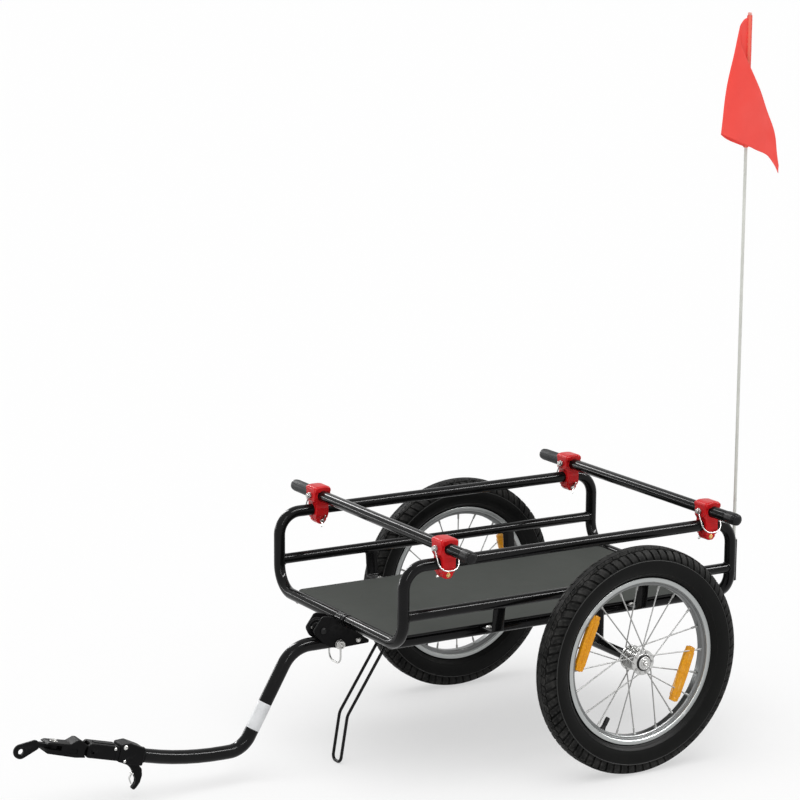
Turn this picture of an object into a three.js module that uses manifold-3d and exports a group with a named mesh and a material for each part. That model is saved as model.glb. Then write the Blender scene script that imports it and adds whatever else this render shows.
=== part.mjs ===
// Cargo bike trailer: an open tube frame with a deck on two spoked wheels, a bent drawbar with its
// coupler, two crossbars in clamps on the top rails, a kickstand and a safety flag on a pole.
// Millimetres, +Z up. The towing end points to -Y and the left side to +X. Lengthwise places are
// measured from the axle and heights from the ground.

import * as THREE from 'three';
import { mergeVertices } from 'three/addons/utils/BufferGeometryUtils.js';
import Module from 'manifold-3d';

const wasm = await Module();
wasm.setup();

// Clearance left between pieces that touch, and how far a cut runs past what it cuts
const GAP = 0.3;
const OVERRUN = 6;

// Sides of round pieces
const TUBE_SIDES = 12;
const PIN_SIDES = 10;
const WIRE_SIDES = 6;
const WHEEL_SIDES = 36;
const HUB_SIDES = 16;
const BEND_STEPS = 5;

// Side loops of the frame
const TUBE_DIAMETER = 22;
const FRAME_WIDTH = 474;
const FRONT_REACH = 457;
const REAR_REACH = 273;
const TOP_RAIL_RISE = 149;
const CROSS_TUBE_HEIGHT = 284;
const UPPER_BEND_RADIUS = 43;
const LOWER_BEND_RADIUS = 50;

// Splice sleeves inside the joined cross tubes
const SPLICE_DIAMETER = 15;
const SPLICE_LENGTH = 80;

// Mid rails with their straps
const MID_RAIL_DIAMETER = 20;
const MID_RAIL_RISE = 51;
const STRAP_WIDTH = 25;
const STRAP_THICKNESS = 3;
const STRAP_LEAN = 6;
const FRONT_STRAP_SETBACK = 205;
const REAR_STRAP_SETBACK = 203;

// Deck
const DECK_RAIL_DIAMETER = 20;
const DECK_RAIL_INSET = 59;
const DECK_RAIL_DROP = 8;
const DECK_THICKNESS = 4;
const DECK_OVERHANG = 12;
const DECK_CORNER_RADIUS = 14;
const BEAM_DIAMETER = 16;
const REAR_BEAM_SETBACK = 153;

// Wheels
const WHEEL_CLEARANCE = 47;
const TYRE_DIAMETER = 436;
const TYRE_WIDTH = 50;
const RIM_DIAMETER = 320;
const RIM_WIDTH = 28;
const RIM_DEPTH = 16;
const RIM_LIP = 2;
const BEAD_DEPTH = 8;
const SPOKE_DIAMETER = 2.4;
const SPOKES_PER_FLANGE = 10;
const SPOKE_CROSS_TURN = 36;
const HUB_INNER_NOSE = 7;
const HUB_OUTER_NOSE = 3;
const HUB_BARREL_DIAMETER = 26;
const FLANGE_DIAMETER = 48;
const FLANGE_THICKNESS = 3;
const FLANGE_SPACING = 38;
const SPOKE_EDGE = 4;

// Axles
const AXLE_DIAMETER = 12;
const STUB_DIAMETER = 20;
const STUB_INNER_OFFSET = 4;
const SOCKET_DEPTH = 64;
const DROP_TUBE_DIAMETER = 16;
const AXLE_CAP_DIAMETER = 26;
const AXLE_CAP_THICKNESS = 5;
const BUTTON_WALL = 1.5;
const BUTTON_LENGTH = 7;
const BUTTON_TRAVEL = 3.5;

// Drawbar and its bracket
const DRAWBAR_DIAMETER = 26;
const DRAWBAR_DROP = 44;
const DRAWBAR_HEEL = 13;
const HEEL_SLOT_GAP = 0.6;
const LOCK_PIN_DROP = 3;
const SHOULDER_REACH = 100;
const SLOPE_LENGTH = 210;
const SLOPE_TURN = 60;
const LOW_RUN = 119;
const TIP_TURN = 15;
const TIP_LENGTH = 118;
const SHOULDER_BEND_RADIUS = 64;
const LOW_BEND_RADIUS = 48;
const TIP_BEND_SHARE = 0.66;
const FOLD_RANGE = 28;
const PLATE_LENGTH = 118;
const PLATE_HEIGHT = 66;
const PLATE_THICKNESS = 4;
const PLATE_SETBACK = 55;
const PLATE_BOTTOM_DROP = 11;
const PIVOT_BOLT_DIAMETER = 10;
const PIVOT_HEAD_DIAMETER = 17;
const PIVOT_HEAD_THICKNESS = 5;
const BRACKET_BOLT_DIAMETER = 8;
const BRACKET_HEAD_DIAMETER = 13;
const BRACKET_HEAD_THICKNESS = 4;

// Lock pin and its bail
const LOCK_PIN_DIAMETER = 10;
const LOCK_PIN_STICKOUT = 6.7;
const LOCK_HEAD_DIAMETER = 16;
const LOCK_HEAD_THICKNESS = 3;
const LOCK_BAIL_REACH = 38;
const LOCK_BAIL_BEND_RADIUS = 15;
const LOCK_BAIL_WIRE = 3;

// Kickstand
const STAND_WIRE = 6;
const STAND_WIDTH = 30;
const STAND_SETBACK = 115;
const STAND_PIVOT_DROP = 24;
const STAND_KNEE_ADVANCE = 105;
const STAND_KNEE_DROP = 161;
const STAND_FOOT_ADVANCE = 120;
const STAND_BLOCK_LENGTH = 16;
const STAND_BLOCK_HEIGHT = 26;
const STAND_TRUNNION_LENGTH = 11;
const STAND_CORNER_RADIUS = 3.4;
const STAND_KNEE_RADIUS = 30;
const STAND_FOOT_RADIUS = 11;

// Coupler sleeve on the drawbar's end
const SLEEVE_LENGTH = 50;
const SLEEVE_WALL = 5;
const SLEEVE_TRIM = 2;
const SLEEVE_OVERLAP = 26;
const SWIVEL_DIAMETER = 8;
const SWIVEL_INSET = 4;
const LEVER_PIN_SETBACK = 12;
const LEVER_PIN_DROP = 11;
const LEVER_PIN_DIAMETER = 5;
const LEVER_PIN_STICKOUT = 1;

// Hooked lever and its gate
const LEVER_SIZE = 60;
const LEVER_THICKNESS = 10;
const GATE_WIRE = 2;
const GATE_BARREL_DIAMETER = 4;
const GATE_LENGTH = 20;

// Yoke, which turns on the swivel bolt
const YOKE_LENGTH = 64;
const YOKE_WIDTH = 34;
const YOKE_TOP = 15;
const YOKE_BOTTOM = 12;
const YOKE_NOSE_CUT = 6;
const YOKE_CHANNEL_START = 28;
const YOKE_WEB_THICKNESS = 4;
const PITCH_PIN_SETBACK = 10;
const PITCH_PIN_DROP = 1;
const PITCH_PIN_DIAMETER = 6;
const PITCH_PIN_STICKOUT = 3;

// Head, which pitches in the yoke, and its yaw screw
const HEAD_WIDTH = 32;
const HEAD_CLEARANCE = 7.7;
const HEAD_LENGTH = 74;
const HEAD_HEIGHT = 20;
const TONGUE_WIDTH = 18;
const TONGUE_RADIUS = 9;
const YAW_PIN_SETBACK = 19;
const YAW_PIN_DIAMETER = 6;
const YAW_PIN_LENGTH = 23;
const YAW_HEAD_DIAMETER = 12;
const YAW_HEAD_THICKNESS = 3;

// Eye plate, which bolts to the towing bicycle
const EYE_TONGUE_RADIUS = 11;
const EYE_TONGUE_THICKNESS = 8;
const EYE_NECK_WIDTH = 12;
const EYE_PLATE_THICKNESS = 5;
const EYE_PLATE_REACH = 35;
const EYE_PLATE_DROP = 3;
const EYE_PLATE_RADIUS = 9.5;
const EYE_REACH = 59;
const EYE_DROP = 17;
const EYE_RADIUS = 13.5;
const EYE_HOLE_DIAMETER = 10.5;

// Crossbars, clamps, clamp pins and bails
const CROSSBAR_DIAMETER = 22;
const CROSSBAR_OVERHANG = 95;
const CROSSBAR_RISE = 28.5;
const FRONT_CROSSBAR_SETBACK = 29;
const CLAMP_SIDE_WALL = 6;
const CLAMP_END_WALL = 7;
const CLAMP_ROOF = 8;
const CLAMP_CROWN_RADIUS = 8;
const CLAMP_SHOULDER_DROP = 16;
const CLAMP_WAIST_LENGTH = 28;
const JAW_WALL = 2;
const JAW_LENGTH = 22;
const JAW_EDGE = 7;
const JAW_TAPER = 6;
const JAW_BOLT_CLEARANCE = 10;
const JAW_BOLT_DIAMETER = 6;
const SLIT = 2.4;
const CLAMP_PIN_DIAMETER = 6;
const CLAMP_PIN_STICKOUT = 6.5;
const CLAMP_PIN_HEAD_DIAMETER = 9;
const CLAMP_PIN_HEAD_THICKNESS = 2;
const BAIL_WIRE = 2.6;
const BAIL_STANDOFF = 3.5;
const BAIL_REACH = 45;
const BAIL_BEND_RADIUS = 18;
const BAIL_TILT = 28;

// Flag, its pole and the pole's holder
const POLE_DIAMETER = 6.2;
const POLE_LENGTH = 1085.7;
const HOLDER_WALL = 3.4;
const HOLDER_RISE = 28;
const HOLDER_LENGTH = 81;
const HOLDER_FLOOR = 4;
const HOLDER_TURN = 60;
const FLAG_SIZE = 300;
const FLAG_THICKNESS = 2.4;
const FLAG_SLEEVE_WALL = 1.6;

// Heights worked out from the sizes above
const tubeRadius = TUBE_DIAMETER / 2;
const topRailHeight = CROSS_TUBE_HEIGHT + TOP_RAIL_RISE;
const deckRailHeight = CROSS_TUBE_HEIGHT - DECK_RAIL_DROP;
const deckBottom = deckRailHeight + DECK_RAIL_DIAMETER / 2 + GAP;
const deckTop = deckBottom + DECK_THICKNESS;
const midRailHeight = deckTop + MID_RAIL_RISE;
const beamHeight = deckRailHeight + DECK_RAIL_DIAMETER / 2 - BEAM_DIAMETER / 2;
const crossbarHeight = topRailHeight + CROSSBAR_RISE;
const drawbarHeight = CROSS_TUBE_HEIGHT - DRAWBAR_DROP;
const lockPinHeight = drawbarHeight - LOCK_PIN_DROP;
const standPivotHeight = beamHeight - STAND_PIVOT_DROP;
const flatShare = Math.cos(Math.PI / WHEEL_SIDES);
const axleHeight = TYRE_DIAMETER / 2 * flatShare;

// Places across the trailer
const seam = GAP / 2;
const sidePlane = FRAME_WIDTH / 2;
const deckRailPlane = sidePlane - DECK_RAIL_INSET;
const wheelPlane = sidePlane + tubeRadius + WHEEL_CLEARANCE + TYRE_WIDTH / 2;
const hubInnerReach = FLANGE_SPACING / 2 + HUB_INNER_NOSE;
const hubOuterReach = FLANGE_SPACING / 2 + HUB_OUTER_NOSE;
const plateInner = DRAWBAR_DIAMETER / 2 + GAP;
const plateOuter = plateInner + PLATE_THICKNESS;

// Places along the trailer
const standPlace = STAND_SETBACK - FRONT_REACH;
const frontStrapPlace = FRONT_STRAP_SETBACK - FRONT_REACH;
const rearStrapPlace = REAR_REACH - REAR_STRAP_SETBACK;
const rearBeamPlace = REAR_REACH - REAR_BEAM_SETBACK;
const railRunIn = UPPER_BEND_RADIUS + CLAMP_WAIST_LENGTH / 2;
const frontCrossbarPlace = railRunIn + FRONT_CROSSBAR_SETBACK - FRONT_REACH;
const rearCrossbarPlace = REAR_REACH - railRunIn;

// Holes in the bracket plates, as shares of a plate's length and height from its lower rear corner
const plateRear = PLATE_SETBACK - FRONT_REACH;
const plateBottom = drawbarHeight - PLATE_BOTTOM_DROP;
const pivotShare = 0.195;
const lockPinShare = 0.542;
const bracketBoltShares = [0.83, 0.58];
const pivotPlace = plateRear - pivotShare * PLATE_LENGTH;
const lockPinPlace = plateRear - lockPinShare * PLATE_LENGTH;
const bracketBoltPlace = plateRear - bracketBoltShares[0] * PLATE_LENGTH;
const bracketBoltHeight = plateBottom + bracketBoltShares[1] * PLATE_HEIGHT;

const xAxis = new THREE.Vector3(1, 0, 0);
const yAxis = new THREE.Vector3(0, 1, 0);
const zAxis = new THREE.Vector3(0, 0, 1);
const across = new THREE.Matrix4().makeBasis(yAxis, zAxis, xAxis);
const lengthwise = new THREE.Matrix4().makeBasis(xAxis, zAxis, yAxis.clone().negate());
const upright = new THREE.Matrix4();
const at = (x, y, z) => new THREE.Vector3(x, y, z);
const radians = THREE.MathUtils.degToRad;

// Materials
const finish = (color, roughness, metalness) =>
  new THREE.MeshStandardMaterial({ color, roughness, metalness });
const blackPaint = finish(0x1c1c1d, 0.35, 0.2);
const blackCasting = finish(0x232324, 0.5, 0.2);
const greyDeck = finish(0x585a58, 0.75, 0);
const redPlastic = finish(0xcd2323, 0.45, 0);
const blackRubber = finish(0x1b1b1c, 0.85, 0);
const brightAlloy = finish(0xa9adab, 0.35, 0.9);
const brightSteel = finish(0xc4c7c8, 0.28, 1);
const palePole = finish(0xd8dad6, 0.5, 0);
const orangeCloth = finish(0xff5a4b, 0.8, 0);

// Solids
function solid(geometry) {
  const bare = geometry.clone();
  bare.deleteAttribute('normal');
  bare.deleteAttribute('uv');
  const merged = mergeVertices(bare);
  const corners = merged.index.array;
  const kept = [];
  for (let i = 0; i < corners.length; i += 3) {
    const [a, b, c] = [corners[i], corners[i + 1], corners[i + 2]];
    if (a !== b && b !== c && c !== a) kept.push(a, b, c);
  }
  const vertProperties = merged.attributes.position.array;
  return new wasm.Manifold(new wasm.Mesh({ numProp: 3, vertProperties, triVerts: new Uint32Array(kept) }));
}

function geometryOf(shape) {
  const mesh = shape.getMesh();
  const geometry = new THREE.BufferGeometry();
  geometry.setAttribute('position', new THREE.BufferAttribute(mesh.vertProperties, 3));
  geometry.setIndex(new THREE.BufferAttribute(mesh.triVerts, 1));
  geometry.computeVertexNormals();
  return geometry;
}

const joined = (...shapes) => shapes.reduce((sum, shape) => sum.add(shape));
const cutBy = (shape, ...tools) => tools.reduce((left, tool) => left.subtract(tool), shape);

// A round bar between two points
function bar(from, to, diameter, sides = TUBE_SIDES) {
  const run = to.clone().sub(from);
  const geometry = new THREE.CylinderGeometry(diameter / 2, diameter / 2, run.length(), sides);
  geometry.applyQuaternion(new THREE.Quaternion().setFromUnitVectors(yAxis, run.clone().normalize()));
  const middle = from.clone().add(to).divideScalar(2);
  geometry.translate(middle.x, middle.y, middle.z);
  return solid(geometry);
}

// The cut that a round bar needs, its flats a gap clear of the bar
function bore(from, to, diameter, sides = TUBE_SIDES) {
  return bar(from, to, (diameter + 2 * GAP) / Math.cos(Math.PI / sides), sides);
}

// A flat outline given depth, in the plane that the basis states, centred on that plane
function prism(outline, depth, basis, centre = at(0, 0, 0)) {
  const shape = new THREE.Shape(outline.map(([a, b]) => new THREE.Vector2(a, b)));
  const geometry = new THREE.ExtrudeGeometry(shape, { depth, bevelEnabled: false });
  geometry.translate(0, 0, -depth / 2);
  geometry.applyMatrix4(basis);
  geometry.translate(centre.x, centre.y, centre.z);
  return solid(geometry);
}

function box(low, high) {
  const extent = high.clone().sub(low);
  const geometry = new THREE.BoxGeometry(extent.x, extent.y, extent.z);
  const middle = low.clone().add(high).divideScalar(2);
  geometry.translate(middle.x, middle.y, middle.z);
  return solid(geometry);
}

// A solid turned about the X axis from a closed profile of [radius, place along the axis]
function turned(profile, sides) {
  const closed = [...profile, profile[0]];
  const points = closed.map(([radius, along]) => new THREE.Vector2(radius, along));
  const geometry = new THREE.LatheGeometry(points, sides, Math.PI / sides);
  geometry.rotateZ(-Math.PI / 2);
  return solid(geometry);
}

const arc = (centre, radius, from, to, steps = BEND_STEPS) =>
  Array.from({ length: steps + 1 }, (_, i) => {
    const angle = radians(from + (to - from) * i / steps);
    return [centre[0] + radius * Math.cos(angle), centre[1] + radius * Math.sin(angle)];
  });

// A route of straight runs joined by round bends, with a station at each end of a run
class Route extends THREE.Curve {
  constructor(corners, bends) {
    super();
    this.stations = [{ point: corners[0], tangent: corners[1].clone().sub(corners[0]).normalize() }];
    for (let i = 1; i < corners.length - 1; i++) this.bend(corners, i, bends[i - 1]);
    const last = corners.at(-1);
    this.stations.push({ point: last, tangent: last.clone().sub(corners.at(-2)).normalize() });
  }

  bend(corners, index, radius) {
    const into = corners[index].clone().sub(corners[index - 1]).normalize();
    const away = corners[index + 1].clone().sub(corners[index]).normalize();
    const turn = into.angleTo(away);
    const start = corners[index].clone().addScaledVector(into, -radius * Math.tan(turn / 2));
    const inward = away.clone().addScaledVector(into, -into.dot(away)).normalize();
    for (let step = 0; step <= BEND_STEPS; step++) {
      const angle = turn * step / BEND_STEPS;
      const point = start.clone().addScaledVector(into, radius * Math.sin(angle));
      point.addScaledVector(inward, radius * (1 - Math.cos(angle)));
      const tangent = into.clone().multiplyScalar(Math.cos(angle)).addScaledVector(inward, Math.sin(angle));
      this.stations.push({ point, tangent });
    }
  }

  get runs() {
    return this.stations.length - 1;
  }

  getPoint(share) {
    return this.stations[Math.round(share * this.runs)].point.clone();
  }

  getPointAt(share) {
    return this.getPoint(share);
  }

  getTangentAt(share, target = new THREE.Vector3()) {
    return target.copy(this.stations[Math.round(share * this.runs)].tangent);
  }
}

function tube(route, diameter, sides = TUBE_SIDES) {
  const section = arc([0, 0], diameter / 2, 0, 360, sides).slice(1);
  const shape = new THREE.Shape(section.map(([a, b]) => new THREE.Vector2(a, b)));
  return solid(new THREE.ExtrudeGeometry(shape, { steps: route.runs, extrudePath: route }));
}

const trailer = new THREE.Group();

function piece(name, shape, material, parent = trailer, place = at(0, 0, 0)) {
  const mesh = new THREE.Mesh(geometryOf(shape), material);
  mesh.name = name;
  mesh.position.copy(place);
  parent.add(mesh);
  return mesh;
}

// A piece drawn for the left side, mirrored across its own middle plane for the right side
function handed(name, side, shape, material, place = at(0, 0, 0)) {
  piece(name, shape, material, trailer, place).scale.x = side;
}

const sides = [['left', 1], ['right', -1]];
const ends = [['front', -1], ['rear', 1]];

// Frame
function loopTube(diameter) {
  const corners = [
    at(seam, -FRONT_REACH, CROSS_TUBE_HEIGHT),
    at(sidePlane, -FRONT_REACH, CROSS_TUBE_HEIGHT),
    at(sidePlane, -FRONT_REACH, topRailHeight),
    at(sidePlane, REAR_REACH, topRailHeight),
    at(sidePlane, REAR_REACH, CROSS_TUBE_HEIGHT),
    at(seam, REAR_REACH, CROSS_TUBE_HEIGHT),
  ];
  const bends = [LOWER_BEND_RADIUS, UPPER_BEND_RADIUS, UPPER_BEND_RADIUS, LOWER_BEND_RADIUS];
  return tube(new Route(corners, bends), diameter);
}

function sideLoop() {
  const splices = [-FRONT_REACH, REAR_REACH].map((place) => spliceCut(place));
  return cutBy(loopTube(TUBE_DIAMETER), ...splices);
}

function spliceCut(place) {
  const reach = SPLICE_LENGTH / 2 + GAP;
  return bore(at(-reach, place, CROSS_TUBE_HEIGHT), at(reach, place, CROSS_TUBE_HEIGHT), SPLICE_DIAMETER);
}

function splice() {
  return bar(at(-SPLICE_LENGTH / 2, 0, 0), at(SPLICE_LENGTH / 2, 0, 0), SPLICE_DIAMETER);
}

function strap(place) {
  const inner = sidePlane - STRAP_THICKNESS / 2;
  const outer = sidePlane + STRAP_THICKNESS / 2;
  const footTop = deckBottom - GAP;
  const footBottom = footTop - STRAP_THICKNESS;
  const footEnd = deckRailPlane + Math.sqrt((DECK_RAIL_DIAMETER / 2 + GAP) ** 2 - (footBottom - deckRailHeight) ** 2);
  const outline = [
    [footEnd, footBottom],
    [outer - STRAP_LEAN, footBottom],
    [outer, midRailHeight],
    [inner, midRailHeight],
    [inner - STRAP_LEAN, footTop],
    [footEnd, footTop],
  ];
  return prism(outline, STRAP_WIDTH, lengthwise, at(0, place, 0));
}

function midRail() {
  const posts = [-FRONT_REACH, REAR_REACH];
  const [front, rear] = posts.map((place) => at(sidePlane, place, midRailHeight));
  const copes = posts.map((place) =>
    bore(at(sidePlane, place, CROSS_TUBE_HEIGHT), at(sidePlane, place, topRailHeight), TUBE_DIAMETER));
  const rail = cutBy(bar(front, rear, MID_RAIL_DIAMETER), ...copes);
  return joined(rail, strap(frontStrapPlace), strap(rearStrapPlace));
}

function deckRail() {
  const copes = [-FRONT_REACH, REAR_REACH].map((place) =>
    bore(at(0, place, CROSS_TUBE_HEIGHT), at(sidePlane, place, CROSS_TUBE_HEIGHT), TUBE_DIAMETER));
  const front = at(deckRailPlane, -FRONT_REACH, deckRailHeight);
  const rear = at(deckRailPlane, REAR_REACH, deckRailHeight);
  return cutBy(bar(front, rear, DECK_RAIL_DIAMETER), ...copes);
}

function deckBeam() {
  const copes = sides.map(([, side]) => {
    const plane = side * deckRailPlane;
    return bore(at(plane, -BEAM_DIAMETER, deckRailHeight), at(plane, BEAM_DIAMETER, deckRailHeight),
      DECK_RAIL_DIAMETER);
  });
  const beam = bar(at(-deckRailPlane, 0, beamHeight), at(deckRailPlane, 0, beamHeight), BEAM_DIAMETER);
  return cutBy(beam, ...copes);
}

function deckPanel() {
  const halfWidth = deckRailPlane + DECK_OVERHANG;
  const front = -(FRONT_REACH - tubeRadius - GAP);
  const rear = REAR_REACH - tubeRadius - GAP;
  const inset = DECK_CORNER_RADIUS;
  const outline = [
    ...arc([halfWidth - inset, rear - inset], inset, 0, 90),
    ...arc([-halfWidth + inset, rear - inset], inset, 90, 180),
    ...arc([-halfWidth + inset, front + inset], inset, 180, 270),
    ...arc([halfWidth - inset, front + inset], inset, 270, 360),
  ];
  return prism(outline, DECK_THICKNESS, upright, at(0, 0, deckBottom + DECK_THICKNESS / 2));
}

function buildFrame() {
  for (const [name, side] of sides) {
    handed(`side_loop_${name}`, side, sideLoop(), blackPaint);
    handed(`mid_rail_${name}`, side, midRail(), blackPaint);
    handed(`deck_rail_${name}`, side, deckRail(), blackPaint);
  }
  for (const [name, end] of ends) {
    const place = end > 0 ? REAR_REACH : -FRONT_REACH;
    piece(`splice_${name}`, splice(), brightSteel, trailer, at(0, place, CROSS_TUBE_HEIGHT));
  }
  piece('deck_beam_front', deckBeam(), blackPaint, trailer, at(0, standPlace, 0));
  piece('deck_beam_rear', deckBeam(), blackPaint, trailer, at(0, rearBeamPlace, 0));
  piece('deck_panel', deckPanel(), greyDeck);
}

// Wheels, built about their own middle with the outboard side to +X
function tyre() {
  const outer = TYRE_DIAMETER / 2;
  const seat = RIM_DIAMETER / 2 - BEAD_DEPTH + GAP;
  const middle = (outer + RIM_DIAMETER / 2) / 2;
  const halfHeight = outer - middle;
  const squareShare = 0.8;
  const sweep = 142;
  const steps = 10;
  const round = (value) => Math.sign(value) * Math.abs(value) ** squareShare;
  const wall = Array.from({ length: steps + 1 }, (_, i) => {
    const angle = radians(-sweep + 2 * sweep * i / steps);
    return [middle + halfHeight * round(Math.cos(angle)), TYRE_WIDTH / 2 * round(Math.sin(angle))];
  });
  const bead = RIM_WIDTH / 2 - RIM_LIP - GAP;
  const lip = RIM_DIAMETER / 2 + RIM_LIP / 2;
  return turned([[seat, -bead], [lip, -bead], ...wall, [lip, bead], [seat, bead]], WHEEL_SIDES);
}

function rim() {
  const edge = RIM_DIAMETER / 2;
  const seat = edge - BEAD_DEPTH;
  const inner = edge - RIM_DEPTH;
  const half = RIM_WIDTH / 2;
  const well = half - RIM_LIP;
  const nose = half / 2;
  return turned([
    [inner, -nose], [seat - RIM_LIP, -half], [edge, -half], [edge, -well], [seat, -well],
    [seat, well], [edge, well], [edge, half], [seat - RIM_LIP, half], [inner, nose],
  ], WHEEL_SIDES);
}

// Hub with its spokes, whose ends stop a gap short of the rim
function hub() {
  const hole = (AXLE_DIAMETER / 2 + GAP) / Math.cos(Math.PI / HUB_SIDES);
  const barrel = HUB_BARREL_DIAMETER / 2;
  const flange = FLANGE_DIAMETER / 2;
  const near = FLANGE_SPACING / 2 - FLANGE_THICKNESS / 2;
  const far = FLANGE_SPACING / 2 + FLANGE_THICKNESS / 2;
  const body = turned([
    [hole, -hubInnerReach], [barrel, -hubInnerReach], [barrel, -far], [flange, -far],
    [flange, -near], [barrel, -near], [barrel, near], [flange, near], [flange, far], [barrel, far],
    [barrel, hubOuterReach], [hole, hubOuterReach],
  ], HUB_SIDES);
  return joined(body, ...spokes());
}

function spokes() {
  const rimReach = (RIM_DIAMETER / 2 - RIM_DEPTH) * flatShare - 2 * GAP;
  const around = (radius, angle, along) => at(along, radius * Math.cos(angle), radius * Math.sin(angle));
  const made = [];
  for (const side of [1, -1]) {
    for (let k = 0; k < SPOKES_PER_FLANGE; k++) {
      const spacing = 360 / SPOKES_PER_FLANGE;
      const start = radians(spacing * (k + (side > 0 ? 0 : 1 / 2)));
      const turn = radians(k % 2 ? -SPOKE_CROSS_TURN : SPOKE_CROSS_TURN);
      const inner = around(FLANGE_DIAMETER / 2 - SPOKE_EDGE, start, side * FLANGE_SPACING / 2);
      const outer = around(rimReach, start + turn, side * SPOKE_DIAMETER);
      made.push(bar(inner, outer, SPOKE_DIAMETER, WIRE_SIDES));
    }
  }
  return made;
}

function buildWheels() {
  for (const [name, side] of sides) {
    const place = at(side * wheelPlane, 0, axleHeight);
    handed(`tyre_${name}`, side, tyre(), blackRubber, place);
    handed(`rim_${name}`, side, rim(), brightAlloy, place);
    handed(`hub_${name}`, side, hub(), brightAlloy, place);
  }
}

// Axles: a drop tube beside the deck rail, a stub with a socket, and the axle pin with its button
function axleBracket() {
  const stubEnd = wheelPlane - hubInnerReach - GAP;
  const dropPlane = deckRailPlane + DECK_RAIL_DIAMETER / 2 + GAP + DROP_TUBE_DIAMETER / 2;
  const top = deckRailHeight + DECK_RAIL_DIAMETER / 2 - GAP;
  const drop = bar(at(dropPlane, 0, axleHeight), at(dropPlane, 0, top), DROP_TUBE_DIAMETER);
  const stubStart = deckRailPlane + STUB_INNER_OFFSET;
  const stub = bar(at(stubStart, 0, axleHeight), at(stubEnd, 0, axleHeight), STUB_DIAMETER);
  const socket = bore(at(stubEnd - SOCKET_DEPTH, 0, axleHeight), at(stubEnd + OVERRUN, 0, axleHeight),
    AXLE_DIAMETER);
  return cutBy(joined(drop, stub), socket);
}

const capFace = wheelPlane + hubOuterReach + GAP + AXLE_CAP_THICKNESS;
const buttonSeat = capFace - BUTTON_LENGTH;
const buttonDiameter = AXLE_DIAMETER - 2 * BUTTON_WALL;

function axlePin() {
  const start = wheelPlane - hubInnerReach - SOCKET_DEPTH;
  const capStart = capFace - AXLE_CAP_THICKNESS;
  const shaft = bar(at(start, 0, 0), at(capFace, 0, 0), AXLE_DIAMETER);
  const cap = bar(at(capStart, 0, 0), at(capFace, 0, 0), AXLE_CAP_DIAMETER, HUB_SIDES);
  const recess = bore(at(buttonSeat - GAP, 0, 0), at(capFace + OVERRUN, 0, 0), buttonDiameter);
  return cutBy(joined(shaft, cap), recess);
}

function axleButton() {
  const start = buttonSeat + BUTTON_TRAVEL;
  return bar(at(start, 0, 0), at(start + BUTTON_LENGTH, 0, 0), buttonDiameter);
}

function buildAxles() {
  for (const [name, side] of sides) {
    handed(`axle_bracket_${name}`, side, axleBracket(), blackPaint);
    handed(`axle_pin_${name}`, side, axlePin(), blackCasting, at(0, 0, axleHeight));
    handed(`axle_button_${name}`, side, axleButton(), brightSteel, at(0, 0, axleHeight));
  }
}

// Drawbar, its bracket, bolts and lock pin
const shoulder = at(0, -(FRONT_REACH + SHOULDER_REACH), drawbarHeight);
const slopeAngle = radians(SLOPE_TURN);
const tipAngle = radians(TIP_TURN);
const lowStart = shoulder.clone().add(
  at(0, -SLOPE_LENGTH * Math.cos(slopeAngle), -SLOPE_LENGTH * Math.sin(slopeAngle)));
const lowEnd = lowStart.clone().add(at(0, -LOW_RUN, 0));
const tipDirection = at(0, -Math.cos(tipAngle), Math.sin(tipAngle));
const tip = lowEnd.clone().addScaledVector(tipDirection, TIP_LENGTH);

function drawbar() {
  const heel = at(0, pivotPlace + DRAWBAR_HEEL, drawbarHeight);
  const tipBendRadius = TIP_BEND_SHARE * LOW_RUN / Math.tan(tipAngle / 2);
  const bends = [SHOULDER_BEND_RADIUS, LOW_BEND_RADIUS, tipBendRadius];
  const body = tube(new Route([heel, shoulder, lowStart, lowEnd, tip], bends), DRAWBAR_DIAMETER);
  return cutBy(body, crossCut(pivotPlace, drawbarHeight, PIVOT_BOLT_DIAMETER), lockSlot());
}

function crossCut(place, height, diameter) {
  const reach = plateOuter + OVERRUN;
  return bore(at(-reach, place, height), at(reach, place, height), diameter);
}

// The slot that the lock pin leaves through as the drawbar folds down about its pivot bolt
function lockSlot() {
  const run = [lockPinPlace - pivotPlace, lockPinHeight - drawbarHeight];
  const reach = Math.hypot(...run);
  const start = THREE.MathUtils.radToDeg(Math.atan2(run[1], run[0])) + 360;
  const end = start - FOLD_RANGE;
  const half = LOCK_PIN_DIAMETER / 2 + HEEL_SLOT_GAP;
  const pivot = [pivotPlace, drawbarHeight];
  const outline = [...arc(pivot, reach + half, start, end), ...arc(pivot, reach - half, end, start)];
  const slot = prism(outline, 2 * (plateOuter + OVERRUN), across);
  return joined(slot, crossCut(lockPinPlace, lockPinHeight, LOCK_PIN_DIAMETER + HEEL_SLOT_GAP));
}

function bracketPlate() {
  const outlineShares = [
    [0, 0.03], [0.56, 0], [0.76, 0.1], [0.98, 0.5], [1, 0.62], [0.84, 1], [0.66, 0.94], [0, 0.12],
  ];
  const outline = outlineShares.map(([a, b]) =>
    [plateRear - a * PLATE_LENGTH, plateBottom + b * PLATE_HEIGHT]);
  const plate = prism(outline, PLATE_THICKNESS, across, at(plateInner + PLATE_THICKNESS / 2, 0, 0));
  return cutBy(plate,
    crossCut(-FRONT_REACH, CROSS_TUBE_HEIGHT, TUBE_DIAMETER),
    crossCut(pivotPlace, drawbarHeight, PIVOT_BOLT_DIAMETER),
    crossCut(lockPinPlace, lockPinHeight, LOCK_PIN_DIAMETER),
    crossCut(bracketBoltPlace, bracketBoltHeight, BRACKET_BOLT_DIAMETER));
}

const lockPinLength = 2 * (plateOuter + LOCK_PIN_STICKOUT);

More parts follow.
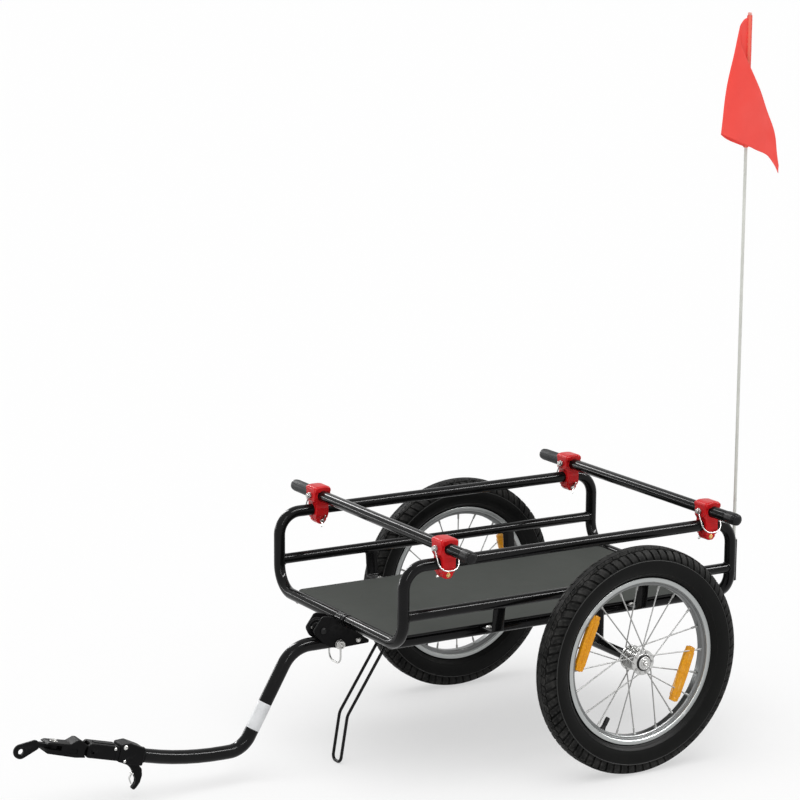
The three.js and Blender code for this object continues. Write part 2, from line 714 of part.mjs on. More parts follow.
// A bolt across both plates, with a head on one side and a nut on the other
function crossBolt(diameter, headDiameter, headThickness) {
  const seat = plateOuter + GAP;
  const reach = seat + headThickness;
  const shaft = bar(at(-reach, 0, 0), at(reach, 0, 0), diameter);
  const heads = [1, -1].map((side) =>
    bar(at(side * seat, 0, 0), at(side * reach, 0, 0), headDiameter, WIRE_SIDES));
  return joined(shaft, ...heads);
}

function lockPin() {
  const half = lockPinLength / 2;
  const shaft = bar(at(-half, 0, 0), at(half, 0, 0), LOCK_PIN_DIAMETER);
  const head = bar(at(half, 0, 0), at(half + LOCK_HEAD_THICKNESS, 0, 0), LOCK_HEAD_DIAMETER, HUB_SIDES);
  return joined(shaft, head);
}

// A wire bail in the YZ plane that hangs below a pin along Y, with an eye round each end of the pin
function bail(pinDiameter, spacing, reach, bendRadius, wire) {
  const half = spacing / 2;
  const eyeInner = pinDiameter / 2 + GAP;
  const eyeOuter = eyeInner + wire;
  const start = -(eyeInner + wire / 2);
  const corners = [at(0, -half, start), at(0, -half, -reach), at(0, half, -reach), at(0, half, start)];
  const hoop = tube(new Route(corners, [bendRadius, bendRadius]), wire, WIRE_SIDES);
  const pin = bore(at(0, -spacing, 0), at(0, spacing, 0), pinDiameter);
  const eyes = [1, -1].map((side) =>
    bar(at(0, side * half - wire / 2, 0), at(0, side * half + wire / 2, 0), 2 * eyeOuter));
  return cutBy(joined(hoop, ...eyes), pin);
}

function buildDrawbar() {
  piece('drawbar', drawbar(), blackPaint);
  for (const [name, side] of sides) {
    handed(`drawbar_bracket_${name}`, side, bracketPlate(), blackPaint);
  }
  piece('pivot_bolt', crossBolt(PIVOT_BOLT_DIAMETER, PIVOT_HEAD_DIAMETER, PIVOT_HEAD_THICKNESS),
    blackCasting, trailer, at(0, pivotPlace, drawbarHeight));
  piece('bracket_bolt', crossBolt(BRACKET_BOLT_DIAMETER, BRACKET_HEAD_DIAMETER, BRACKET_HEAD_THICKNESS),
    blackCasting, trailer, at(0, bracketBoltPlace, bracketBoltHeight));
  const lockPlace = at(0, lockPinPlace, lockPinHeight);
  piece('lock_pin', lockPin(), brightSteel, trailer, lockPlace);
  const spacing = lockPinLength - LOCK_BAIL_WIRE - 2 * GAP;
  const lockBail = bail(LOCK_PIN_DIAMETER, spacing, LOCK_BAIL_REACH, LOCK_BAIL_BEND_RADIUS, LOCK_BAIL_WIRE);
  piece('lock_bail', lockBail, brightSteel, trailer, lockPlace).rotation.z = Math.PI / 2;
}

// Kickstand: one bent wire with two legs, whose turned-in ends sit in a block under the front beam
function kickstand() {
  const half = STAND_WIDTH / 2;
  const inner = half - STAND_TRUNNION_LENGTH;
  const knee = at(half, -STAND_KNEE_ADVANCE, -STAND_KNEE_DROP);
  const foot = at(half, -STAND_FOOT_ADVANCE, STAND_WIRE / 2 - standPivotHeight);
  const left = [at(inner, 0, 0), at(half, 0, 0), knee, foot];
  const right = left.map((point) => at(-point.x, point.y, point.z)).reverse();
  const bends = [STAND_CORNER_RADIUS, STAND_KNEE_RADIUS, STAND_FOOT_RADIUS];
  return tube(new Route([...left, ...right], [...bends, ...bends.toReversed()]), STAND_WIRE, WIRE_SIDES);
}

function standBlock() {
  const width = STAND_WIDTH - 2 * (STAND_CORNER_RADIUS + 2 * GAP);
  const bottom = beamHeight - STAND_BLOCK_HEIGHT - STAND_WIRE;
  const low = at(-width / 2, -STAND_BLOCK_LENGTH / 2, bottom);
  const high = at(width / 2, STAND_BLOCK_LENGTH / 2, beamHeight);
  const reach = STAND_WIDTH;
  const beamCut = bore(at(-reach, 0, beamHeight), at(reach, 0, beamHeight), BEAM_DIAMETER);
  const hole = bore(at(-reach, 0, standPivotHeight), at(reach, 0, standPivotHeight), STAND_WIRE, WIRE_SIDES);
  return cutBy(box(low, high), beamCut, hole);
}

function buildKickstand() {
  piece('kickstand_block', standBlock(), blackPaint, trailer, at(0, standPlace, 0));
  piece('kickstand', kickstand(), blackPaint, trailer, at(0, standPlace, standPivotHeight));
}

// Coupler, in a frame whose -Y runs forward along the drawbar's end
const coupler = new THREE.Group();
coupler.position.copy(lowEnd).addScaledVector(tipDirection, TIP_LENGTH - SLEEVE_OVERLAP);
coupler.rotation.x = -tipAngle;
trailer.add(coupler);

const forward = (advance, rise, across = 0) => at(across, -advance, rise);
const ahead = (outline) => outline.map(([advance, rise]) => [-advance, rise]);
const sideCut = (advance, rise, reach, diameter) =>
  bore(forward(advance, rise, -reach), forward(advance, rise, reach), diameter, PIN_SIDES);
const block = (start, end, bottom, top, width) =>
  box(forward(end, bottom, -width / 2), forward(start, top, width / 2));

const sleeveWidth = DRAWBAR_DIAMETER + 2 * SLEEVE_WALL;
const sleeveHeight = DRAWBAR_DIAMETER - SLEEVE_TRIM;
const swivelStart = SLEEVE_OVERLAP + SWIVEL_INSET;
const yokeStart = SLEEVE_LENGTH + GAP;
const swivelEnd = yokeStart + YOKE_CHANNEL_START - YOKE_WEB_THICKNESS;
const leverPinAdvance = SLEEVE_LENGTH - LEVER_PIN_SETBACK;
const pitchAdvance = yokeStart + YOKE_LENGTH - PITCH_PIN_SETBACK;
const headStart = yokeStart + YOKE_LENGTH + HEAD_CLEARANCE;
const yawAdvance = headStart + HEAD_LENGTH - YAW_PIN_SETBACK;
const leverBossShare = 0.086;
const leverSlotShare = 0.235;

function couplerSleeve() {
  const outlineShares = [
    [0, -0.67], [0, 0.66], [0.12, 0.74], [0.66, 0.98], [1, 0.76], [1, -0.56], [0.6, -0.68],
  ];
  const outline = ahead(outlineShares.map(([a, b]) => [a * SLEEVE_LENGTH, b * sleeveHeight]));
  const socket = bore(forward(-OVERRUN, 0), forward(SLEEVE_OVERLAP + GAP, 0), DRAWBAR_DIAMETER);
  const swivel = bore(forward(swivelStart, 0), forward(SLEEVE_LENGTH + OVERRUN, 0), SWIVEL_DIAMETER);
  const slotTop = leverBossShare * LEVER_SIZE + GAP - LEVER_PIN_DROP;
  const slotStart = leverPinAdvance - leverSlotShare * LEVER_SIZE;
  const slot = block(slotStart, SLEEVE_LENGTH + OVERRUN, -sleeveHeight, slotTop,
    LEVER_THICKNESS + 2 * GAP);
  const pin = sideCut(leverPinAdvance, -LEVER_PIN_DROP, sleeveWidth, LEVER_PIN_DIAMETER);
  return cutBy(prism(outline, sleeveWidth, across), socket, swivel, slot, pin);
}

// Hooked lever, its outline in shares of its size about its pin
const gatePivotShares = [-0.49, -0.4];

function releaseLever() {
  const outlineShares = [
    [-0.07, 0.05], [-0.03, 0.08], [0.03, 0.08], [0.07, 0.05], [0.083, 0], [0.083, -0.03], [0.03, -0.09],
    [-0.12, -0.125], [-0.27, -0.16], [-0.4, -0.24], [-0.5, -0.35], [-0.57, -0.47], [-0.63, -0.55],
    [-0.65, -0.65], [-0.62, -0.75], [-0.56, -0.84], [-0.65, -0.91], [-0.73, -0.8], [-0.8, -0.65],
    [-0.82, -0.42], [-0.76, -0.22], [-0.63, -0.11], [-0.3, -0.105], [-0.12, -0.07], [-0.085, 0],
  ];
  const outline = ahead(outlineShares.map(([a, b]) => [a * LEVER_SIZE, b * LEVER_SIZE]));
  const [a, b] = gatePivotShares.map((share) => share * LEVER_SIZE);
  return cutBy(prism(outline, LEVER_THICKNESS, across),
    sideCut(0, 0, LEVER_THICKNESS, LEVER_PIN_DIAMETER),
    sideCut(a, b, LEVER_THICKNESS, GATE_BARREL_DIAMETER));
}

function hookGate() {
  const bowShares = [0.15, -0.5];
  const tipShares = [-0.16, -0.98];
  const [bow, end] = [bowShares, tipShares].map(([a, b]) => forward(a * GATE_LENGTH, b * GATE_LENGTH));
  const barrel = bar(forward(0, 0, -LEVER_THICKNESS / 2), forward(0, 0, LEVER_THICKNESS / 2),
    GATE_BARREL_DIAMETER, PIN_SIDES);
  return joined(barrel, tube(new Route([forward(0, 0), bow, end], [GATE_LENGTH / 4]), GATE_WIRE, WIRE_SIDES));
}

function couplerYoke() {
  const end = yokeStart + YOKE_LENGTH;
  const outline = ahead([
    [yokeStart, -YOKE_BOTTOM], [yokeStart, YOKE_TOP], [end - YOKE_NOSE_CUT, YOKE_TOP],
    [end, YOKE_TOP - YOKE_NOSE_CUT], [end, -YOKE_BOTTOM],
  ]);
  const swivel = bore(forward(swivelStart, 0), forward(swivelEnd + GAP, 0),
    SWIVEL_DIAMETER);
  const channel = block(yokeStart + YOKE_CHANNEL_START, end + OVERRUN, -YOKE_BOTTOM - OVERRUN,
    YOKE_TOP - YOKE_WEB_THICKNESS, TONGUE_WIDTH + 2 * GAP);
  const nose = block(end - YOKE_NOSE_CUT, end + OVERRUN, 0, YOKE_TOP + OVERRUN, TONGUE_WIDTH + 2 * GAP);
  const pin = sideCut(pitchAdvance, -PITCH_PIN_DROP, YOKE_WIDTH, PITCH_PIN_DIAMETER);
  return cutBy(prism(outline, YOKE_WIDTH, across), swivel, channel, nose, pin);
}

function couplerHead() {
  const outlineShares = [
    [0, -0.68], [0, 0.68], [0.04, 0.8], [0.11, 0.93], [0.19, 0.92], [0.27, 0.7], [0.36, 0.47],
    [0.92, 0.43], [1, 0.26], [1, -0.5], [0.92, -0.63], [0.18, -0.72],
  ];
  const outline = ahead(outlineShares.map(([a, b]) => [headStart + a * HEAD_LENGTH, b * HEAD_HEIGHT]));
  const root = [pitchAdvance, -PITCH_PIN_DROP];
  const tongueEnd = headStart + TONGUE_RADIUS;
  const tongue = ahead([
    ...arc(root, TONGUE_RADIUS, 90, 270),
    [tongueEnd, root[1] - TONGUE_RADIUS], [tongueEnd, root[1] + TONGUE_RADIUS],
  ]);
  const body = joined(prism(outline, HEAD_WIDTH, across), prism(tongue, TONGUE_WIDTH, across));
  const half = EYE_TONGUE_THICKNESS / 2 + GAP;
  const mouth = block(yawAdvance - EYE_TONGUE_RADIUS - 2 * GAP, headStart + HEAD_LENGTH + OVERRUN,
    -half, half, HEAD_WIDTH + OVERRUN);
  const screw = bore(forward(yawAdvance, -HEAD_HEIGHT), forward(yawAdvance, HEAD_HEIGHT),
    YAW_PIN_DIAMETER, PIN_SIDES);
  return cutBy(body, sideCut(...root, HEAD_WIDTH, PITCH_PIN_DIAMETER), mouth, screw);
}

function yawPin() {
  const seatShare = 0.45;
  const seat = seatShare * HEAD_HEIGHT;
  const top = seat + YAW_HEAD_THICKNESS;
  const shaft = bar(at(0, 0, top - YAW_PIN_LENGTH), at(0, 0, top), YAW_PIN_DIAMETER, PIN_SIDES);
  return joined(shaft, bar(at(0, 0, seat), at(0, 0, top), YAW_HEAD_DIAMETER));
}

// Eye plate: a flat tongue on the yaw screw, a neck, and an upright plate with the hole for an axle
function hitchPlate() {
  const half = EYE_TONGUE_THICKNESS / 2;
  const tongue = bar(forward(yawAdvance, -half), forward(yawAdvance, half),
    2 * EYE_TONGUE_RADIUS, HUB_SIDES);
  const run = [EYE_REACH - EYE_PLATE_REACH, EYE_PLATE_DROP - EYE_DROP];
  const eyeCentre = [yawAdvance + EYE_REACH, -EYE_DROP];
  const plateCentre = [yawAdvance + EYE_PLATE_REACH, -EYE_PLATE_DROP];
  const heading = THREE.MathUtils.radToDeg(Math.atan2(run[1], run[0]));
  const neck = block(yawAdvance, plateCentre[0], -half, half, EYE_NECK_WIDTH);
  const taper = Math.asin((EYE_RADIUS - EYE_PLATE_RADIUS) / Math.hypot(...run));
  const flare = 90 + THREE.MathUtils.radToDeg(taper);
  const fullTurn = 360;
  const plate = prism(ahead([
    ...arc(eyeCentre, EYE_RADIUS, heading - flare, heading + flare),
    ...arc(plateCentre, EYE_PLATE_RADIUS, heading + flare, heading + fullTurn - flare),
  ]), EYE_PLATE_THICKNESS, across);
  const screw = bore(forward(yawAdvance, -HEAD_HEIGHT), forward(yawAdvance, HEAD_HEIGHT),
    YAW_PIN_DIAMETER, PIN_SIDES);
  const eye = bar(forward(...eyeCentre, -OVERRUN), forward(...eyeCentre, OVERRUN),
    EYE_HOLE_DIAMETER, HUB_SIDES);
  return cutBy(joined(tongue, neck, plate), screw, eye);
}

function crossPin(length, diameter) {
  return bar(at(-length / 2, 0, 0), at(length / 2, 0, 0), diameter, PIN_SIDES);
}

function buildCoupler() {
  piece('coupler_sleeve', couplerSleeve(), blackCasting, coupler);
  const swivel = bar(forward(swivelStart + GAP, 0), forward(swivelEnd, 0), SWIVEL_DIAMETER);
  piece('swivel_bolt', swivel, brightSteel, coupler);
  const leverPlace = forward(leverPinAdvance, -LEVER_PIN_DROP);
  piece('lever_pin', crossPin(sleeveWidth + 2 * LEVER_PIN_STICKOUT, LEVER_PIN_DIAMETER), brightSteel, coupler,
    leverPlace);
  piece('release_lever', releaseLever(), blackCasting, coupler, leverPlace);
  const [a, b] = gatePivotShares.map((share) => share * LEVER_SIZE);
  piece('hook_gate', hookGate(), brightSteel, coupler, leverPlace.clone().add(forward(a, b)));
  piece('coupler_yoke', couplerYoke(), blackCasting, coupler);
  piece('pitch_pin', crossPin(YOKE_WIDTH + 2 * PITCH_PIN_STICKOUT, PITCH_PIN_DIAMETER), brightSteel, coupler,
    forward(pitchAdvance, -PITCH_PIN_DROP));
  piece('coupler_head', couplerHead(), blackCasting, coupler);
  piece('yaw_pin', yawPin(), brightSteel, coupler, forward(yawAdvance, 0));
  piece('hitch_plate', hitchPlate(), blackCasting, coupler);
}

const clampWidth = TUBE_DIAMETER + 2 * CLAMP_SIDE_WALL;
const clampLength = CROSSBAR_DIAMETER + 2 * CLAMP_END_WALL;
const clampTop = CROSSBAR_DIAMETER / 2 + CLAMP_ROOF;
const waistDrop = CROSSBAR_RISE + tubeRadius;
const jawBoltDrop = waistDrop + JAW_BOLT_CLEARANCE;
const jawDrop = jawBoltDrop + JAW_EDGE;
const jawWidth = TUBE_DIAMETER + 2 * JAW_WALL;
const clampPinLength = clampLength + 2 * CLAMP_PIN_STICKOUT;
const bailSpacing = clampLength + 2 * BAIL_STANDOFF;

// Crossbars and their clamps, each clamp built about the crossing of its bar with its pin
function crossbar() {
  const half = sidePlane + CROSSBAR_OVERHANG;
  const pins = sides.map(([, side]) =>
    bore(at(side * sidePlane, -clampLength, 0), at(side * sidePlane, clampLength, 0), CLAMP_PIN_DIAMETER,
      PIN_SIDES));
  return cutBy(bar(at(-half, 0, 0), at(half, 0, 0), CROSSBAR_DIAMETER), ...pins);
}

function clamp() {
  const crown = CLAMP_CROWN_RADIUS;
  const halfLength = clampLength / 2;
  const halfWidth = clampWidth / 2;
  const halfWaist = CLAMP_WAIST_LENGTH / 2;
  const halfJaw = JAW_LENGTH / 2;
  const upper = prism([
    ...arc([halfLength - crown, clampTop - crown], crown, 0, 90),
    ...arc([crown - halfLength, clampTop - crown], crown, 90, 180),
    [-halfLength, -CLAMP_SHOULDER_DROP + JAW_TAPER], [-halfWaist, -CLAMP_SHOULDER_DROP],
    [-halfWaist, -waistDrop], [halfWaist, -waistDrop],
    [halfWaist, -CLAMP_SHOULDER_DROP], [halfLength, -CLAMP_SHOULDER_DROP + JAW_TAPER],
  ], clampWidth, across);
  const taper = prism([
    [-halfWidth, -waistDrop], [-jawWidth / 2, -waistDrop - JAW_TAPER],
    [jawWidth / 2, -waistDrop - JAW_TAPER], [halfWidth, -waistDrop],
    [halfWidth, -CLAMP_SHOULDER_DROP], [-halfWidth, -CLAMP_SHOULDER_DROP],
  ], CLAMP_WAIST_LENGTH, lengthwise);
  const jaw = prism([
    [halfJaw, -waistDrop], [-halfJaw, -waistDrop], [-halfJaw, JAW_TAPER - jawDrop],
    [JAW_TAPER - halfJaw, -jawDrop], [halfJaw - JAW_TAPER, -jawDrop], [halfJaw, JAW_TAPER - jawDrop],
  ], jawWidth, across);
  const slit = box(at(-SLIT / 2, -clampLength, -jawDrop - OVERRUN), at(SLIT / 2, clampLength, -CROSSBAR_RISE));
  return cutBy(joined(upper, taper, jaw),
    bore(at(-clampWidth, 0, 0), at(clampWidth, 0, 0), CROSSBAR_DIAMETER),
    bore(at(0, -clampLength, -CROSSBAR_RISE), at(0, clampLength, -CROSSBAR_RISE), TUBE_DIAMETER),
    bore(at(0, -clampLength, 0), at(0, clampLength, 0), CLAMP_PIN_DIAMETER, PIN_SIDES),
    bore(at(-clampWidth, 0, -jawBoltDrop), at(clampWidth, 0, -jawBoltDrop), JAW_BOLT_DIAMETER,
      PIN_SIDES),
    slit);
}

function clampPin() {
  const half = clampPinLength / 2;
  const shaft = bar(at(0, -half, 0), at(0, half, 0), CLAMP_PIN_DIAMETER, PIN_SIDES);
  const head = bar(at(0, -half - CLAMP_PIN_HEAD_THICKNESS, 0), at(0, -half, 0), CLAMP_PIN_HEAD_DIAMETER,
    PIN_SIDES);
  return joined(shaft, head);
}

function buildCrossbars() {
  for (const [end, direction] of ends) {
    const place = direction > 0 ? rearCrossbarPlace : frontCrossbarPlace;
    piece(`crossbar_${end}`, crossbar(), blackPaint, trailer, at(0, place, crossbarHeight));
    for (const [name, side] of sides) {
      const crossing = at(side * sidePlane, place, crossbarHeight);
      piece(`clamp_${end}_${name}`, clamp(), redPlastic, trailer, crossing);
      piece(`clamp_pin_${end}_${name}`, clampPin(), brightSteel, trailer, crossing);
      const hoop = bail(CLAMP_PIN_DIAMETER, bailSpacing, BAIL_REACH, BAIL_BEND_RADIUS, BAIL_WIRE);
      const mesh = piece(`bail_${end}_${name}`, hoop, brightSteel, trailer, crossing);
      mesh.rotation.y = -side * radians(BAIL_TILT);
    }
  }
}

// Flag: a sheet between its upper and lower edge, folded once, with a sleeve round the pole
const holderDiameter = POLE_DIAMETER + 2 * HOLDER_WALL;
const holderBottom = CROSS_TUBE_HEIGHT + HOLDER_RISE;
const poleBottom = holderBottom + HOLDER_FLOOR + GAP;
const poleTop = poleBottom + POLE_LENGTH;
const holderReach = tubeRadius + GAP + holderDiameter / 2;
const poleX = sidePlane - holderReach * Math.cos(radians(HOLDER_TURN));
const poleY = REAR_REACH + holderReach * Math.sin(radians(HOLDER_TURN));

function edgeCurve(shares) {
  return new THREE.CatmullRomCurve3(shares.map(([a, b, c]) => at(a, b, c).multiplyScalar(FLAG_SIZE)));
}

function flagSheet() {
  const upper = edgeCurve([
    [0, 0, -0.04], [0.003, -0.023, -0.067], [0.017, -0.043, -0.12], [0.033, -0.013, -0.25],
    [0.04, 0.083, -0.483], [0.033, 0.207, -0.707], [0.027, 0.253, -0.96],
  ]);
  const lower = edgeCurve([
    [0, 0, -0.837], [-0.007, -0.113, -0.793], [0.01, -0.203, -0.747], [0.033, -0.083, -0.8],
    [0.04, 0.04, -0.847], [0.037, 0.16, -0.9], [0.027, 0.245, -1.01],
  ]);
  const columns = 18;
  const rows = 5;
  const point = (i, j) => upper.getPoint(i / columns).lerp(lower.getPoint(i / columns), j / rows);
  const normal = (i, j) => {
    const along = point(Math.min(i + 1, columns), j).sub(point(Math.max(i - 1, 0), j));
    const down = point(i, Math.min(j + 1, rows)).sub(point(i, Math.max(j - 1, 0)));
    return along.cross(down).normalize();
  };
  const offset = (i, j, side) => point(i, j).addScaledVector(normal(i, j), side * FLAG_THICKNESS / 2);
  const corners = [];
  const quad = (a, b, c, d) => corners.push(a, b, c, a, c, d);
  for (let i = 0; i < columns; i++) {
    for (let j = 0; j < rows; j++) {
      quad(offset(i, j, 1), offset(i + 1, j, 1), offset(i + 1, j + 1, 1), offset(i, j + 1, 1));
      quad(offset(i, j, -1), offset(i, j + 1, -1), offset(i + 1, j + 1, -1), offset(i + 1, j, -1));
    }
    quad(offset(i, 0, -1), offset(i + 1, 0, -1), offset(i + 1, 0, 1), offset(i, 0, 1));
    quad(offset(i, rows, 1), offset(i + 1, rows, 1), offset(i + 1, rows, -1), offset(i, rows, -1));
  }
  for (let j = 0; j < rows; j++) {
    quad(offset(0, j, -1), offset(0, j, 1), offset(0, j + 1, 1), offset(0, j + 1, -1));
    quad(offset(columns, j, 1), offset(columns, j, -1), offset(columns, j + 1, -1), offset(columns, j + 1, 1));
  }
  return solid(new THREE.BufferGeometry().setFromPoints(corners));
}

function flag() {
  const sleeveTopShare = -0.04;
  const sleeveBottomShare = -0.837;
  const top = sleeveTopShare * FLAG_SIZE;
  const bottom = sleeveBottomShare * FLAG_SIZE;
  const sleeve = bar(at(0, 0, bottom), at(0, 0, top), POLE_DIAMETER + 2 * (GAP + FLAG_SLEEVE_WALL), PIN_SIDES);
  const pole = bore(at(0, 0, -FLAG_SIZE), at(0, 0, 0), POLE_DIAMETER, PIN_SIDES);
  return cutBy(joined(flagSheet(), sleeve), pole);
}

function flagHolder() {
  const foot = at(poleX, poleY, holderBottom);
  const raised = (height) => foot.clone().addScaledVector(zAxis, height);
  const shell = bar(foot, raised(HOLDER_LENGTH), holderDiameter);
  const hole = bore(raised(HOLDER_FLOOR), raised(HOLDER_LENGTH + OVERRUN), POLE_DIAMETER, PIN_SIDES);
  return cutBy(shell, hole, loopTube(TUBE_DIAMETER + 2 * GAP));
}

function buildFlag() {
  piece('flag_holder', flagHolder(), blackPaint);
  piece('flag_pole', bar(at(0, 0, poleBottom), at(0, 0, poleTop), POLE_DIAMETER, PIN_SIDES), palePole,
    trailer, at(poleX, poleY, 0));
  piece('flag', flag(), orangeCloth, trailer, at(poleX, poleY, poleTop));
}

buildFrame();
buildWheels();
buildAxles();
buildDrawbar();
buildKickstand();
buildCoupler();
buildCrossbars();
buildFlag();

// The origin lies on the ground under the middle of the whole trailer
trailer.updateMatrixWorld(true);
const extent = new THREE.Box3().setFromObject(trailer, true);
trailer.position.y = -(extent.min.y + extent.max.y) / 2;

export default trailer;
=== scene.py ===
import bpy
import math
import numpy as np
from mathutils import Matrix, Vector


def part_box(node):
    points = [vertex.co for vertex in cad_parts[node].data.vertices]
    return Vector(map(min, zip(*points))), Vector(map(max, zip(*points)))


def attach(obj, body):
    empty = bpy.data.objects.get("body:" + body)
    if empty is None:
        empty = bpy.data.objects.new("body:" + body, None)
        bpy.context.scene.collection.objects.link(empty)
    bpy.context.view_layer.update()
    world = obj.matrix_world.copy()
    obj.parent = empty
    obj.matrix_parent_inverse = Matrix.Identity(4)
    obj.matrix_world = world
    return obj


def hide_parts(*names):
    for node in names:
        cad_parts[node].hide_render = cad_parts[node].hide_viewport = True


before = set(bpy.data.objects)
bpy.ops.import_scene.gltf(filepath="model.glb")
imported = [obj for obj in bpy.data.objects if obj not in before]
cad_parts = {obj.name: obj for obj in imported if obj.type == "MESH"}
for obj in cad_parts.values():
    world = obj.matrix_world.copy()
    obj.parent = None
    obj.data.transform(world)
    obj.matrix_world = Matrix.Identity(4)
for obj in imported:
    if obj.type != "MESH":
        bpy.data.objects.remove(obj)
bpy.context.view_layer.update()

# Lengths below are in millimetres. Lengthwise places are measured from the axle.
MM = 0.001
WHEEL_X, SHIFT, AXLE = ((low + high) / 2 / MM for low, high in zip(*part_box("tyre_left")))
SIDES = (("left", 1), ("right", -1))
rad = math.radians


# ---------------------------------------------------------------- mesh code
# A part is (vertices, faces).
def unit(v):
    v = np.asarray(v, float)
    return v / np.linalg.norm(v)


def moved(part, by=(0, 0, 0), x=(1, 0, 0), y=(0, 1, 0), z=(0, 0, 1)):
    """The part's own axes become x, y and z, and it moves by an offset."""
    return np.asarray(part[0], float) @ np.array([x, y, z], float) + np.asarray(by, float), part[1]


def across(part, x=0, y=0, z=0):
    """The slab's plane becomes YZ and its depth X."""
    return moved(part, (x, y, z), (0, 1, 0), (0, 0, 1), (1, 0, 0))


def lengthwise(part, x=0, y=0, z=0):
    """The slab's plane becomes XZ and its depth Y."""
    return moved(part, (x, y, z), (1, 0, 0), (0, 0, 1), (0, -1, 0))


def upright(part, x=0, y=0, z=0):
    """The lathe's axis becomes Z."""
    return moved(part, (x, y, z), (0, 0, 1), (1, 0, 0), (0, 1, 0))


def along_y(part, x=0, y=0, z=0):
    """The lathe's axis becomes Y."""
    return moved(part, (x, y, z), (0, 1, 0), (1, 0, 0), (0, 0, 1))


def mirrored(part, side=-1):
    """The part itself on the left side, and its mirror image on the right."""
    if side > 0:
        return part
    return np.asarray(part[0], float) * np.array([-1, 1, 1]), [tuple(reversed(f)) for f in part[1]]


def merged(parts):
    """Several parts as one."""
    verts, faces, base = [], [], 0
    for v, f in parts:
        verts.append(np.asarray(v, float))
        faces += [tuple(i + base for i in face) for face in f]
        base += len(v)
    return np.vstack(verts), faces


def corner_angle(into, away):
    return math.acos(max(-1.0, min(1.0, float(into @ away))))


def corner_arc(start, into, away, angle, radius, steps):
    """Points of an arc that starts along into and ends along away."""
    inward = unit(away - into * (into @ away))
    return [start + into * radius * math.sin(t) + inward * radius * (1 - math.cos(t))
            for t in (angle * k / steps for k in range(steps + 1))]


def route(corners, bends, turn=5.0):
    """A path through corners, each but the ends bent to its radius in steps of at most turn degrees."""
    corners = [np.asarray(c, float) for c in corners]
    points = [corners[0]]
    for i, radius in enumerate(bends, 1):
        into, away = unit(corners[i] - corners[i - 1]), unit(corners[i + 1] - corners[i])
        angle = corner_angle(into, away)
        start = corners[i] - into * radius * math.tan(angle / 2)
        points += corner_arc(start, into, away, angle, radius, max(3, math.ceil(math.degrees(angle) / turn)))
    points.append(corners[-1])
    return np.array(points)


def rounded(outline, radius, steps=4, closed=True):
    """An outline with its corners rounded to one radius, or to one each."""
    pts = [np.asarray(p, float) for p in outline]
    radii = radius if hasattr(radius, "__len__") else [radius] * len(pts)
    straight, share = 0.02, 0.48
    out, n = [], len(pts)
    for i in range(n):
        a, c, b = pts[i - 1], pts[i], pts[(i + 1) % n]
        if radii[i] <= 0 or not closed and i in (0, n - 1):
            out.append(c)
            continue
        into, away = unit(c - a), unit(b - c)
        angle = corner_angle(into, away)
        if angle < straight:
            out.append(c)
            continue
        half = math.tan(angle / 2)
        reach = min(radii[i] * half, share * np.linalg.norm(c - a), share * np.linalg.norm(b - c))
        out += corner_arc(c - into * reach, into, away, angle, reach / half, steps)
    return np.array(out)


def arc(centre, radius, start, end, steps=12):
    """Points round a centre, from start to end in degrees."""
    angles = [rad(start + (end - start) * i / steps) for i in range(steps + 1)]
    return [(centre[0] + radius * math.cos(a), centre[1] + radius * math.sin(a)) for a in angles]


def rect(u0, v0, u1, v1):
    return [(u0, v0), (u1, v0), (u1, v1), (u0, v1)]


def quarter(edge, steps):
    """(along, inset) of a quarter round."""
    turns = [math.pi / 2 * k / steps for k in range(steps + 1)]
    return [(edge * (1 - math.cos(t)), edge * (1 - math.sin(t))) for t in turns]


def ring_faces(rings, sides, closed):
    """Quads between rings of equal size, with caps where the row of rings is open."""
    faces = []
    for i in range(rings if closed else rings - 1):
        here, there = i * sides, (i + 1) % rings * sides
        for k in range(sides):
            m = (k + 1) % sides
            faces.append((here + k, here + m, there + m, there + k))
    if not closed:
        faces += [tuple(range(sides - 1, -1, -1)), tuple((rings - 1) * sides + k for k in range(sides))]
    return faces


def sweep(path, radius, sides=32, closed=False, edge=0.6, swell=None):
    """A round tube along a path. edge rounds its open ends, swell is a factor on the radius for each point."""
    path = np.asarray(path, float)
    radii = np.full(len(path), float(radius)) * (1.0 if swell is None else np.asarray(swell, float))
    if not closed and edge > 0:
        along, less = (np.array(row) for row in zip(*quarter(edge, 4)))
        heads = path[0] + np.outer(along, unit(path[1] - path[0]))
        tails = path[-1] - np.outer(along, unit(path[-1] - path[-2]))
        path = np.vstack([heads, path[1:-1], tails[::-1]])
        radii = np.concatenate([radii[0] - less, radii[1:-1], (radii[-1] - less)[::-1]])
    n = len(path)
    if closed:
        steps_in, steps_out = path - np.roll(path, 1, 0), np.roll(path, -1, 0) - path
    else:
        gaps = np.diff(path, axis=0)
        steps_in, steps_out = np.vstack([gaps[:1], gaps]), np.vstack([gaps, gaps[-1:]])
    tangents = np.array([unit(unit(a) + unit(b)) for a, b in zip(steps_in, steps_out)])
    normal = np.array([0.0, 0.0, 1.0]) if abs(tangents[0][2]) < 0.9 else np.array([1.0, 0.0, 0.0])
    normals = []
    for tangent in tangents:
        normal = unit(normal - tangent * (normal @ tangent))
        normals.append(normal)
    twist = 0.0
    if closed:
        back = unit(normals[-1] - tangents[0] * (normals[-1] @ tangents[0]))
        twist = math.atan2(float(back @ np.cross(tangents[0], normals[0])), float(back @ normals[0]))
    angles = np.arange(sides) * 2 * math.pi / sides
    verts = []
    for i in range(n):
        a = angles - twist * i / n
        circle = np.outer(np.cos(a), normals[i]) + np.outer(np.sin(a), np.cross(tangents[i], normals[i]))
        verts.append(path[i] + radii[i] * circle)
    return np.vstack(verts), ring_faces(n, sides, closed)


def rod(start, end, radius, sides=32, edge=0.5):
    """A straight tube's outside between two points."""
    return sweep([start, end], radius, sides, edge=edge)


